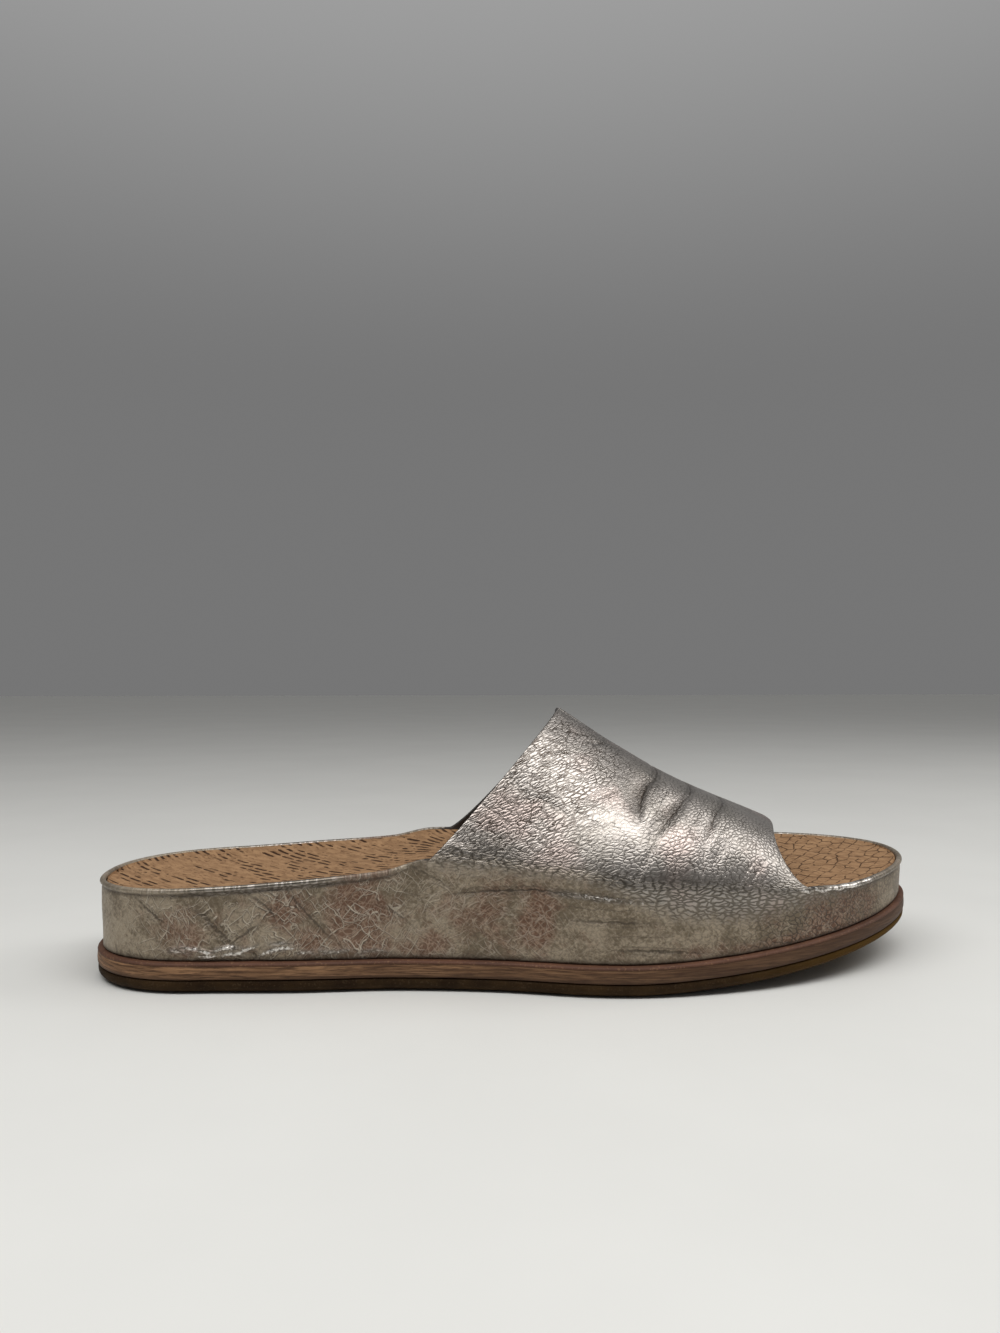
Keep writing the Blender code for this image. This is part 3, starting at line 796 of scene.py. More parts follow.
CREASE_POINTS = 48
CREASE_END = 0.08
CREASE_FADE = 0.6

# Depths from which a crease's hollow takes its full painted shade, its dark line is drawn in full, and a
# ridge on the band takes its full painted highlight
TROUGH_FULL = 2.0 * MM
LINE_FULL = 0.5 * MM
RIDGE_FULL = 0.55 * MM
LINE_WIDEST = 2.0 * MM
NO_LINE = 9 * MM

# Soft unevenness of hand-lasted leather: height and width of its swells on the band and on the strap
SWELL_HEIGHT = {"band": 0.20 * MM, "strap": 0.30 * MM}
SWELL_WIDTH = {"band": 11 * MM, "strap": 15 * MM}

# Places where the foil has worn through to brown leather, on the outer side of the band: middle and half size
# in millimetres along the foot, in shares of the band's height, and how far gone the foil is
WornPatch = namedtuple("WornPatch", "x up half_x half_up amount")
WORN_PATCHES = (
    WornPatch(33, 0.42, 7, 0.30, 0.50),
    WornPatch(63, 0.70, 9, 0.40, 0.55),
    WornPatch(70, 0.25, 10, 0.30, 0.45),
    WornPatch(84, 0.50, 9, 0.80, 0.80),
    WornPatch(104, 0.10, 14, 0.22, 0.50),
    WornPatch(122, 0.50, 16, 0.34, 0.40),
    WornPatch(136, 0.50, 6, 0.40, 0.75),
    WornPatch(230, 0.40, 13, 0.50, 0.60),
    WornPatch(205, 0.08, 30, 0.12, 0.40),
)

# The foil keeps its gloss on the strap. On the outer side its border runs over and under the rim's line:
# stations in millimetres, and the border's height over the rim
GlossBorder = namedtuple("GlossBorder", "station height")
GLOSS_BORDER = (
    GlossBorder(0, 9.0),
    GlossBorder(88, 9.0),
    GlossBorder(97, 3.0),
    GlossBorder(108, -0.8),
    GlossBorder(125, 0.0),
    GlossBorder(150, 1.2),
    GlossBorder(163, -2.5),
    GlossBorder(176, -6.5),
    GlossBorder(200, -7.0),
    GlossBorder(214, -4.5),
    GlossBorder(225, -1.5),
    GlossBorder(240, 2.0),
    GlossBorder(252, 9.0),
    GlossBorder(271, 9.0),
)
GLOSS_FADE = 4.6 * MM
BEAD_SHINE = (-2.0 * MM, -0.8 * MM)
RIDGE_GLOSS = 0.8

# How thickly fine scratches cross the band, how far its foil has crackled, and how far its bead still shines,
# by station in millimetres
FoilWear = namedtuple("FoilWear", "station scratches crackle bead")
FOIL_WEAR = (
    FoilWear(0, 0.0, 0.0, 0.25),
    FoilWear(9, 0.1, 0.0, 0.25),
    FoilWear(24, 0.8, 0.0, 0.25),
    FoilWear(40, 0.9, 0.0, 0.8),
    FoilWear(60, 0.9, 0.0, 1.0),
    FoilWear(74, 1.0, 0.0, 0.8),
    FoilWear(84, 1.0, 0.1, 0.3),
    FoilWear(104, 0.55, 0.2, 0.2),
    FoilWear(138, 0.40, 0.3, 0.2),
    FoilWear(150, 0.15, 0.2, 0.2),
    FoilWear(196, 0.15, 0.4, 0.3),
    FoilWear(215, 0.25, 1.0, 1.0),
    FoilWear(238, 0.30, 1.0, 1.0),
    FoilWear(252, 0.10, 0.4, 0.4),
    FoilWear(271, 0.0, 0.2, 0.3),
)


def ramp(value, low, high):
    """Share of the way from low to high, held at 0 and 1."""
    return np.clip((value - low) / (high - low), 0, 1)


def eased(share):
    """A share from 0 to 1 that starts and ends gently."""
    return share * share * (3 - 2 * share)


def bell(value, middle, half_width):
    """1 at the middle, falling off to both sides."""
    return np.exp(-(((value - middle) / half_width) ** 2))


Band = namedtuple("Band", "points shares free")


def band_points(side):
    """The band's outside as a grid: a row for each station, from its base up to its rim. Also gives each
    point's share of the band's height, and how far each station's rim is free of the strap."""
    x = STATIONS[side]
    base, rim = spring(x) + UPPER_BASE, rim_height(side)
    away = np.maximum(np.maximum(STRAP_BACK[side] - x, x - STRAP_FRONT[side]), 0.0)
    free = eased(ramp(away, 0, BEAD_FADE))
    deepest = BAND_TOP_LEVELS[0].depth
    lowest = rim - deepest
    levels = [(base + (lowest - base) * k / BAND_LOWER_LEVELS, 0 * x) for k in range(BAND_LOWER_LEVELS)]
    for level in BAND_TOP_LEVELS:
        top = deepest * (level.depth - BEAD_RADIUS) / (deepest - BEAD_RADIUS)
        depth = top + (level.depth - top) * free
        levels.append((rim - depth, level.bead * free))
    points, shares = [], []
    for z, bead in levels:
        share = (z - base) / (rim - base)
        plan = moved_in(side, BAND_LEDGE - bead - BAND_FLARE * share)
        points.append(np.column_stack([plan, z]))
        shares.append(share)
    return Band(np.stack(points, 1), np.stack(shares, 1), free)


def flank_points(side, feet):
    """One flank of the strap as a grid: a row for each section, from its foot on the rim up to the crown."""
    along = np.linspace(0, 1, STRAP_STEPS + 1)[:, None]
    t = 1 - (1 - np.linspace(0, 1, FLANK_STEPS + 1)[None, :]) ** FLANK_CROWD
    crown_x = CROWN_BACK + (CROWN_FRONT - CROWN_BACK) * along
    crown_y = smooth(CROWN_SECTIONS, "shift", along)
    crown_z = TOE_HEIGHT + (INSTEP_HEIGHT - TOE_HEIGHT) * smooth(CROWN_SECTIONS, "rise", along)
    steep, lean, cut = (smooth(FLANK_SECTIONS[side], column, along) for column in ("steep", "lean", "cut"))
    turn = math.pi / 2 * t
    rise = np.sin(turn) ** steep
    drawn = cut * np.maximum(0, np.sin(math.pi * t**CUT_SKEW)) ** CUT_POWER
    foot_x, foot_y, foot_z = (feet[:, k, None] for k in range(3))
    x = foot_x + (crown_x - foot_x) * (t + STRAP_SWEEP * (rise - t)) - drawn
    y = crown_y + (foot_y - crown_y) * np.cos(turn) ** lean
    z = foot_z + (crown_z - foot_z) * rise
    return np.stack([x, y, z], -1)


def column_at(across):
    """Column of the strap's grid at a share across it."""
    side = min(across, 1 - across)
    column = FLANK_STEPS * (1 - (1 - 2 * side) ** (1 / FLANK_CROWD))
    return column if across < 0.5 else 2 * FLANK_STEPS - column


def grid_normals(points, faces):
    """Outward direction at each point of a surface."""
    a, b, c, d = (points[faces[:, k]] for k in range(4))
    lean = np.cross(c - a, d - b)
    total = np.zeros_like(points)
    for k in range(4):
        np.add.at(total, faces[:, k], lean)
    return total / np.maximum(np.linalg.norm(total, axis=1, keepdims=True), 1e-12)


def look_up(grid, row, column):
    """A point of a grid at a row and column that need not be whole numbers."""
    i, j = int(min(row, len(grid) - 1.001)), int(min(column, grid.shape[1] - 1.001))
    a, b = row - i, column - j
    low = grid[i, j] * (1 - b) + grid[i, j + 1] * b
    high = grid[i + 1, j] * (1 - b) + grid[i + 1, j + 1] * b
    return low * (1 - a) + high * a


def bent(a, b, c):
    """A path of pairs through three places."""
    t = np.linspace(0, 1, CREASE_POINTS)[:, None]
    a, b, c = (np.array(p) for p in (a, b, c))
    middle = 2 * b - (a + c) / 2
    return a * (1 - t) ** 2 + middle * 2 * t * (1 - t) + c * t**2


def press(points, normals, path, crease):
    """How far a crease along a path lowers each point, how deep in it each point lies (0 to 1), how far the
    point is from its middle line, negative towards the heel, and how far the crease has faded out there.
    Paths run down the strap's outer flank, or up its inner one."""
    spread = points[:, None] - path[None]
    gaps = np.linalg.norm(spread, axis=2)
    nearest = gaps.argmin(1)
    gap = gaps[np.arange(len(points)), nearest]
    tangent = np.gradient(path, axis=0)[nearest]
    offset = points - path[nearest]
    heelward = np.einsum("ij,ij->i", np.cross(tangent, normals), offset) > 0
    reached = CREASE_END + (1 - 2 * CREASE_END) * nearest / (CREASE_POINTS - 1)
    fade = np.sin(math.pi * reached) ** CREASE_FADE
    width = crease.half_width * np.where(heelward, crease.trail, 1.0)
    trough = bell(gap, 0, width) * fade
    return crease.depth * trough, trough, np.where(heelward, -gap, gap), fade


def swell(points, width):
    """Soft noise from -1 to 1 over points, with swells of that width."""
    return np.array([noise.noise(Vector(point)) for point in (points / width).tolist()])


bands = {side: band_points(side) for side in SIDE_SIGN}
strap_feet = {side: bands[side].points[UNDER_STRAP, -1] for side in SIDE_SIGN}
flanks = {side: flank_points(side, strap_feet[side]) for side in SIDE_SIGN}


def ease_foot(side):
    """Eases the bend between the band and the strap's foot on one side."""
    band = bands[side].points
    rim = band.shape[1] - 1
    section = np.concatenate([band[UNDER_STRAP], flanks[side][:, 1:]], 1)
    row, column = np.arange(STRAP_STEPS + 1), np.arange(section.shape[1])
    weight = ramp(np.minimum(row, STRAP_STEPS - row), 0, EASE_ROWS)[:, None]
    weight = weight * np.clip(EASE_LEVEL - np.abs(column - rim) / EASE_COLUMNS, 0, 1)
    for _ in range(EASE_ROUNDS):
        bow = section[:, :-2] + section[:, 2:] - 2 * section[:, 1:-1]
        section[:, 1:-1] += weight[:, 1:-1, None] * bow / 4
    band[UNDER_STRAP] = section[:, : rim + 1]
    flanks[side] = section[:, rim:]


for side in SIDE_SIGN:
    ease_foot(side)
strap_skin = np.concatenate([flanks["lateral"], flanks["medial"][:, -2::-1]], 1)

lateral_index = grid_of(bands["lateral"].points)
medial_index = grid_of(bands["medial"].points, lateral_index.size)
strap_index = grid_of(strap_skin, 2 * lateral_index.size)
outer_grids = (bands["lateral"].points, bands["medial"].points, strap_skin)
outer = np.concatenate([grid.reshape(-1, 3) for grid in outer_grids])
outer_faces = np.concatenate([quads(lateral_index), quads(medial_index[::-1]), quads(strap_index)])
outer_first, outer_number = weld(outer)
outward = grid_normals(outer[outer_first], outer_number[outer_faces])[outer_number]


def run_length(points, axis):
    """Distance run along one axis of a grid of points, from its start."""
    steps = np.linalg.norm(np.diff(points, axis=axis), axis=-1)
    start = np.zeros_like(np.take(steps, [0], axis=axis))
    return np.concatenate([start, np.cumsum(steps, axis=axis)], axis=axis)


def joined(lateral, medial, strap):
    """A value for each outer point, from values on the two sides of the band and on the strap."""
    grids = ((lateral, lateral_index), (medial, medial_index), (strap, strap_index))
    return np.concatenate([np.broadcast_to(value, index.shape).ravel() for value, index in grids])


def flat_places():
    """Each outer point's place on the leather laid flat: how far along the foot, and how far up from the
    outer rim, over the strap and down below the inner rim."""
    along = np.linspace(-0.5, 0.5, STRAP_STEPS + 1)[:, None] * STRAP_RUN
    along = np.broadcast_to(along, strap_skin.shape[:2])
    up = run_length(strap_skin, 1)
    strap = np.stack([along, up], -1)
    flat = []
    for side, column, sign in (("lateral", 0, 1), ("medial", -1, -1)):
        points = bands[side].points
        edge = run_length(np.column_stack([EDGE[side], 0 * STATIONS[side]])[None], 1)[0]
        foot = np.clip(np.arange(LAST + 1) - HEEL_STEPS, 0, STRAP_STEPS)
        s = along[foot, column] + edge - edge[foot + HEEL_STEPS]
        h = up[foot, column][:, None] + sign * (points[:, :, 2] - points[:, -1:, 2])
        flat.append(np.stack(np.broadcast_arrays(s[:, None], h), -1))
    return np.concatenate([grid.reshape(-1, 2) for grid in (*flat, strap)])


def soft_step(share):
    """A soft step from 0 at a share of -1 to 1 at a share of 1."""
    return eased(ramp(share, -1, 1))


def glossy():
    """How far the foil keeps its gloss at each outer point: 1 on the strap, 0 low on the band."""
    masks = []
    for side in SIDE_SIGN:
        points, _, free = bands[side]
        border = smooth(GLOSS_BORDER, "height", STATIONS[side] / MM)[:, None] * MM
        over = points[:, :, 2] - points[:, -1:, 2]
        shine = np.clip(smooth(FOIL_WEAR, "bead", STATIONS[side] / MM), 0, 1)
        bead = ramp(over, *BEAD_SHINE) * (free * shine)[:, None]
        masks.append(np.maximum(soft_step((over - border) / GLOSS_FADE), bead))
    border = smooth(GLOSS_BORDER, "height", STATIONS["lateral"][UNDER_STRAP] / MM)[:, None] * MM
    length = run_length(strap_skin, 1)
    over = np.minimum(length, length[:, -1:] - length)
    return joined(*masks, soft_step((over - border) / GLOSS_FADE))


def strap_path(crease):
    places = bent((crease.along_a, crease.across_a), (crease.along_b, crease.across_b),
                  (crease.along_c, crease.across_c))
    return np.array([look_up(strap_skin, a * STRAP_STEPS, column_at(b)) for a, b in places])


def band_path(crease):
    points, shares, _ = bands["lateral"]
    path = []
    for x, up in bent((crease.x_a, crease.up_a), (crease.x_b, crease.up_b), (crease.x_c, crease.up_c)):
        row = np.interp(x * MM, STATIONS["lateral"], np.arange(LAST + 1))
        path.append(look_up(points, row, np.interp(up, shares[int(row)], np.arange(shares.shape[1]))))
    return np.array(path)


def worn_places():
    """How far the foil is gone at each outer point. The inner side of the band wears like the outer one."""
    worn = []
    for side in SIDE_SIGN:
        points, shares, _ = bands[side]
        gone = np.zeros(shares.shape)
        for patch in WORN_PATCHES:
            reach = bell(points[:, :, 0] / MM, patch.x, patch.half_x) * bell(shares, patch.up, patch.half_up)
            gone = np.maximum(gone, patch.amount * reach)
        worn.append(gone)
    return joined(*worn, 0.0)


gloss = glossy()
# The troughs get painted shade, and the band's ridges a painted highlight.
lowered, trough, raised, ridge_highlight, line = (np.zeros(len(outer)) for _ in range(5))
line_gap = np.full(len(outer), NO_LINE)
for creases, path_of, on_band in ((STRAP_CREASES, strap_path, 0.0), (BAND_CREASES, band_path, 1.0)):
    for crease in creases:
        drop, inside, gap, fade = press(outer, outward, path_of(crease), crease)
        lowered += drop
        if crease.depth < 0:
            raised = np.maximum(raised, inside)
            ridge_highlight = np.maximum(ridge_highlight, inside * on_band * min(1.0, -crease.depth / RIDGE_FULL))
        else:
            trough = np.maximum(trough, inside * min(1.0, crease.depth / TROUGH_FULL))
            nearer = (np.abs(gap) < np.abs(line_gap)) & (crease.half_width < LINE_WIDEST)
            line_gap = np.where(nearer, gap, line_gap)
            line = np.where(nearer, fade * min(1.0, crease.depth / LINE_FULL), line)
for part, share in (("band", 1 - gloss), ("strap", gloss)):
    lowered += SWELL_HEIGHT[part] * share * swell(outer, SWELL_WIDTH[part])
outer = outer - outward * lowered[:, None]
gloss = np.maximum(gloss, RIDGE_GLOSS * raised)


def inner_band(side):
    """The band's inside as a grid, from its base up to the top of the wall."""
    points, _, free = bands[side]
    base, top = points[:, 0, 2], points[:, -1, 2]
    rows = []
    for share in INNER_SHARES:
        z = base + (top - base) * share
        bead = (2 * BEAD_RADIUS - BEAD_PROUD - UPPER_WALL) * free * share
        plan = moved_in(side, BAND_LEDGE - BAND_FLARE * share + UPPER_WALL + bead)
        rows.append(np.column_stack([plan, z]))
    return np.stack(rows, 1)


inner_bands = {side: inner_band(side) for side in SIDE_SIGN}
strap_inner = outer[strap_index] - outward[strap_index] * UPPER_WALL
strap_inner[:, 0] = inner_bands["lateral"][UNDER_STRAP, -1]
strap_inner[:, -1] = inner_bands["medial"][UNDER_STRAP, -1]


def opening_strip(stations_of, strap_row):
    """The edge round the heel's or the toe's opening: for each point of it the outer point's number and a row
    of points round the edge, from the outer wall to the inner one. Also gives how far the rim is free of the
    strap there, and so rolled."""
    rows, back = list(stations_of), list(reversed(stations_of))
    over = strap_index[strap_row, 1:-1]
    numbers = np.concatenate([lateral_index[rows, -1], over, medial_index[back, -1]])
    under = strap_inner[strap_row, 1:-1]
    inner = np.concatenate([inner_bands["lateral"][rows, -1], under, inner_bands["medial"][back, -1]])
    free = np.concatenate([bands["lateral"].free[rows], np.zeros(len(over)), bands["medial"].free[back]])
    rim = outer[numbers]
    across = rim - inner
    run = np.roll(rim, -1, 0) - np.roll(rim, 1, 0)
    run[0], run[-1] = rim[1] - rim[-2], rim[1] - rim[-2]
    out = np.cross(run, across)
    out /= np.linalg.norm(out, axis=1, keepdims=True)
    out *= np.sign(out[0, 2])
    bulge = CUT_BULGE + (BEAD_RADIUS - CUT_BULGE) * free
    turns = np.linspace(0, math.pi, EDGE_STEPS + 1)[None, :, None]
    middle, half = ((rim + inner) / 2)[:, None], (across / 2)[:, None]
    strip = middle + half * np.cos(turns) + (out * bulge[:, None])[:, None] * np.sin(turns)
    return numbers, strip, free


flat = flat_places()
worn = worn_places()
skins = [outer]
faces = [outer_faces]
finish = [np.zeros(len(outer_faces), int)]
numbers_of = [np.arange(len(outer))]


def add_skin(points, numbers, finishes):
    """Adds a grid of points to the upper. Its shading follows the outer points of the given numbers."""
    index = grid_of(points, sum(len(skin) for skin in skins))
    made = quads(index)
    skins.append(points.reshape(-1, 3))
    faces.append(made)
    finish.append(np.broadcast_to(finishes, len(made)))
    numbers_of.append(np.broadcast_to(numbers, points.shape[:2]).ravel())


LEATHER, LINING, CUT_EDGE = 0, 1, 2
heel_stations, toe_stations = range(HEEL_STEPS + 1), range(LAST, HEEL_STEPS + STRAP_STEPS - 1, -1)
for stations_of, strap_row in ((heel_stations, 0), (toe_stations, -1)):
    numbers, strip, free = opening_strip(stations_of, strap_row)
    on_edge = np.repeat((free[:-1] + free[1:]) / 2 < CUT_FREE, EDGE_STEPS)
    add_skin(strip, numbers[:, None], np.where(on_edge, CUT_EDGE, LEATHER))
add_skin(strap_inner, strap_index, LINING)
for side, index in (("lateral", lateral_index), ("medial", medial_index)):
    add_skin(inner_bands[side], index[:, -1:], LINING)
    base = np.stack([outer[index[:, 0]], inner_bands[side][:, 0]], 1)
    add_skin(base, index[:, :1], LINING)

FOIL_PALE = (0.51, 0.467, 0.43, 1)
FOIL_GREY = (0.40, 0.368, 0.33, 1)
FOIL_ROSE = (0.51, 0.425, 0.385, 1)
# The next colour is painted shade, for the strap's low flank where its grain lies along the foot.
FOIL_LOW_SHADE = (0.17, 0.150, 0.125, 1)
FOIL_DULL = (0.40, 0.330, 0.240, 1)
FOIL_KHAKI = (0.175, 0.135, 0.088, 1)
HIDE_BROWN = (0.155, 0.072, 0.040, 1)
HIDE_LIGHT = (0.40, 0.28, 0.20, 1)
# The next two colours are painted highlights: a glint on the band's ridges and a pale line along the tops of
# its wrinkles.
FOIL_GLINT = (0.90, 0.85, 0.79, 1)
CREST_HIGHLIGHT = (0.80, 0.70, 0.56, 1)
# The next colour is the dark of the grain's furrows and the foil's cracks, and it is also painted as shade in
# the creases, under the wrinkles and along the band's base.
FURROW_AND_SHADE = (0.050, 0.036, 0.026, 1)

# Grains of the leather: their length along the foot, their height up it and their turn in degrees
Grain = namedtuple("Grain", "length height turn")
UPRIGHT_GRAIN = Grain(1.15, 2.4, -28)
NET_GRAIN = Grain(1.8, 1.4, 0)
LYING_GRAIN = Grain(2.3, 1.0, 0)
CRACKLE_GRAIN = Grain(1.8, 1.5, 0)
GRAIN_LOOSE = 0.9
GRAIN_KEPT = (0.05, 0.55)
PEBBLE_FURROW = 0.9
NET_FURROW = 0.8

# Wrinkles: how far they run, their spacing, their turn in degrees, and half the width of their line
Fold = namedtuple("Fold", "run spacing turn half_width")
STRAND_FOLD = Fold(1.6, 6.5, -28, 0.20)
LARGE_FOLDS = (Fold(26.0, 5.0, 50, 0.22), Fold(30.0, 5.4, -44, 0.22))
SMALL_FOLDS = (Fold(14.0, 2.6, 40, 0.18), Fold(15.0, 2.8, -56, 0.18))
HATCH_FOLDS = (Fold(3.2, 1.1, 56, 0.20), Fold(3.6, 1.2, -42, 0.20))
SMALL_LINE = 0.7

# The noise that draws wrinkles: the step its slope is taken over, the least slope, the sum of two heights
# where the leather lies level, and the range of a second noise that breaks the lines off
FOLD_STEP, FOLD_SLOPE = 0.04, 0.04
FOLD_LEVEL = 1.6
FOLD_BROKEN = (0.40, 0.56)

# How far noise frays the gloss's border, worn places and crease lines, and where a crease's fainter twin runs
BORDER_FRAY, WEAR_FRAY, CREASE_SWAY = 4.0, 1.6, 2.2
TWIN_GAP = 1.15

# Relief of the leather: the depth of its unit, and how many units each mark stands up or lies deep
LEATHER_RELIEF = 0.06 * MM
LARGE_RISE, SMALL_RISE, LINE_RISE, HATCH_RISE, SPECKLE_RISE, DOME_RISE = 7.0, 2.5, 3.0, 0.9, 0.8, 0.7
FURROW_DEPTH, CREASE_DEPTH = 0.6, 2.0

# How far each mark covers the glossy foil of the strap and the dull foil of the band with its colour.
# DULL_LINE and RIDGE_GLINT paint highlights, on the wrinkles' tops and on the band's ridges, and DULL_CRACK
# also paints the shade under the wrinkles
GLOSS_FURROW, GLOSS_CREASE = 0.95, 0.85
DULL_HIDE, DULL_CRACK, DULL_FURROW, DULL_LINE, DULL_CREASE = 0.85, 0.75, 0.6, 0.62, 0.7
HIDE_HATCH = 0.7
RIDGE_GLINT, GLINT_FRAY = 0.95, 2.4

# How much each mark lightens the dull foil
TONE_SPECKLE, TONE_CRUMPLE, TONE_HATCH, TONE_CRACKLE = 3.2, 0.09, 0.4, -1.0

# Metal and roughness of the foil, dull and glossy, and what they change by where the hide is bare
METAL_DULL, METAL_GLOSSY, METAL_BARE = 0.4, 0.95, -0.2
ROUGH_DULL, ROUGH_GLOSSY, ROUGH_BARE = 0.48, 0.34, 0.15

# Lining of the strap and its cut edges, both inked dark
Ink = namedtuple("Ink", "name roughness dark light fleck cloud speck flecks coarse share depth")
LINING_INK = Ink(
    "strap_lining", roughness=0.75, dark=(0.018, 0.013, 0.010, 1), light=(0.040, 0.029, 0.022, 1),
    fleck=(0.07, 0.055, 0.043, 1), cloud=0.15, speck=2.0, flecks=0.4, coarse=0.8, share=0.6, depth=0.12 * MM,
)
EDGE_INK = Ink(
    "inked_edge", roughness=0.5, dark=(0.012, 0.009, 0.008, 1), light=(0.030, 0.022, 0.017, 1),
    fleck=(0.12, 0.09, 0.06, 1), cloud=0.2, speck=1.5, flecks=0.3, coarse=1.0, share=0.5, depth=0.15 * MM,
)


def make_pebbles():
    """Node group: grains of leather. Puts out 1 in the thin furrows between them, and their domes from 0
    to 1."""
    tree, given, result = new_group("pebbles", {"Vector": "Vector"}, {"Furrow": "Float", "Dome": "Float"})
    inside = to_cell_edge(given["Vector"], GRAIN_LOOSE)
    tree.links.new(remap(inside, 0.04, 0.16, 1.0, 0.0), result["Furrow"])
    tree.links.new(remap(inside, 0.0, 0.42), result["Dome"])
    return tree


def make_wrinkles():
    """Node group: wandering wrinkles of an even width, which Along and Across give as shares of their run and
    their spacing. Puts out how high the skin swells towards them, and from 0 to 1 the thin line along their
    top and the shade under it."""
    results = {"Height": "Float", "Line": "Float", "Shade": "Float"}
    shares = {"Along": "Float", "Across": "Float"}
    tree, given, result = new_group("wrinkles", {"Vector": "Vector", **shares}, results)

    def level(*step):
        spot = add_node(tree, "VectorMath", {0: given["Vector"], 1: step}, operation="ADD").outputs[0]
        return noise_at(spot, 1.0, detail=0.3)

    here = level(0.0, 0.0, 0.0)
    run, rise = minus(level(FOLD_STEP, 0.0, 0.0), here), minus(level(0.0, FOLD_STEP, 0.0), here)
    ways = times(run, given["Along"]), times(rise, given["Across"])
    slope = calc("DIVIDE", calc("SQRT", plus(*(times(way, way) for way in ways))), FOLD_STEP)
    over = minus(here, 0.5)
    off = calc("ABSOLUTE", over)
    gap = calc("DIVIDE", off, most(slope, times(given["Across"], FOLD_SLOPE)))
    under = calc("LESS_THAN", times(over, rise), 0.0)
    tree.links.new(minus(1.0, times(off, 2.0)), result["Height"])
    tree.links.new(remap(gap, 0.5, 1.0, 1.0, 0.0), result["Line"])
    tree.links.new(times(remap(gap, 0.8, 3.6, 1.0, 0.0), under), result["Shade"])
    return tree


PEBBLES = make_pebbles()
WRINKLES = make_wrinkles()
StrapMarks = namedtuple("StrapMarks", "furrow dome tarnish crisp")
BandMarks = namedtuple("BandMarks", "crumple lit cracks hatch gone crackled")


def grains(skin, grain):
    """Grains of one kind on the leather."""
    way = stretched(skin, (grain.length, grain.height, 1.0), math.radians(grain.turn))
    return use_group(PEBBLES, Vector=way)


def folds(skin, fold):
    """Wrinkles of one kind on the leather."""
    way = stretched(skin, (fold.run, fold.spacing, 1.0), math.radians(fold.turn))
    along, across = fold.half_width / fold.run, fold.half_width / fold.spacing
    return use_group(WRINKLES, Vector=way, Along=along, Across=across)


def swung(value, reach):
    """A noise that swings about 0 instead of a half."""
    return times(minus(value, 0.5), reach)


def frayed_gloss(tree, skin):
    """How far the foil keeps its gloss, with a ragged border."""
    gloss = attribute(tree, "gloss")
    fray = times(swung(noise_at(skin, 0.5, detail=4.0), BORDER_FRAY), gloss, minus(1.0, gloss))
    return add_node(tree, "Clamp", {0: plus(gloss, fray)}).outputs[0]


def strap_marks(tree, skin, wavy, ruffled, gloss):
    """Furrows and domes of the strap's grain, the shade painted over its low flank where the grain lies along
    the foot, darkest between the grains, and the dark crisp lines along the creases."""
    lie, front = attribute(tree, "lie"), attribute(tree, "front")
    upright, net, lying = (grains(wavy, grain) for grain in (UPRIGHT_GRAIN, NET_GRAIN, LYING_GRAIN))
    kept = remap(gloss, *GRAIN_KEPT)
    grain = times(attribute(tree, "grain"), kept)
    patchy = remap(noise_at(skin, 0.25), 0.35, 0.62, 0.6, 1.0)
    strands = times(folds(ruffled, STRAND_FOLD)["Line"], minus(1.0, lie), minus(1.0, front))
    furrow = blend(front, blend(lie, upright["Furrow"], lying["Furrow"]), times(net["Furrow"], NET_FURROW))
    furrow = times(most(times(furrow, PEBBLE_FURROW), strands), patchy, remap(grain, 0.0, 0.8), kept)
    dome = times(blend(front, blend(lie, upright["Dome"], lying["Dome"]), net["Dome"]), grain)
    # Painted shade over the low flank, darkest between the grains' domes.
    tarnish = times(lie, remap(lying["Dome"], 0.15, 0.75, 0.9, 0.2))
    sway = swung(noise_at(skin, 0.55, detail=4.0), CREASE_SWAY)
    gap = calc("ABSOLUTE", plus(attribute(tree, "gap"), sway))
    twin = remap(calc("ABSOLUTE", minus(gap, TWIN_GAP)), 0.05, 0.4, 0.6, 0.0)
    crisp = times(most(remap(gap, 0.10, 0.55, 1.0, 0.0), times(twin, patchy)), attribute(tree, "line"))
    return StrapMarks(furrow, dome, tarnish, crisp)


def band_marks(tree, skin, spot, wavy, ruffled, matt):
    """Crumples of the band, the lines along them painted lit, cracks in the foil together with shade painted
    under those lines, its fine hatching, where it has gone and how far it has crackled."""
    scratches = times(attribute(tree, "scratches"), matt)
    broken, other = (remap(noise_at(*spots), *FOLD_BROKEN) for spots in ((skin, 0.20), (spot, 0.18)))
    large = [folds(ruffled, fold) for fold in LARGE_FOLDS]
    small = [folds(ruffled, fold) for fold in SMALL_FOLDS]
    crumple = plus(*(times(plus(rising["Height"], falling["Height"], -FOLD_LEVEL), rise)
                     for (rising, falling), rise in ((large, LARGE_RISE), (small, SMALL_RISE))))

    def drawn(label):
        strong = most(times(large[0][label], broken), times(large[1][label], other))
        faint = most(times(small[0][label], other), times(small[1][label], broken))
        return times(most(strong, times(faint, SMALL_LINE)), scratches)

    breakup = noise_at(spot, 0.11, detail=6.0, roughness=0.65)
    gone = remap(plus(attribute(tree, "worn"), swung(breakup, WEAR_FRAY)), 0.05, 0.55)
    hatch = remap(most(*(folds(ruffled, fold)["Height"] for fold in HATCH_FOLDS)), 0.84, 1.0)
    crackled = attribute(tree, "crackle")
    crackle = times(grains(wavy, CRACKLE_GRAIN)["Furrow"], remap(crackled, 0.0, 1.0, 0.2, 1.0))
    # The foil's fine cracks, with painted shade under the wrinkle lines.
    cracks = times(most(crackle, drawn("Shade")), matt)
    return BandMarks(times(crumple, scratches), drawn("Line"), cracks, hatch, gone, crackled)


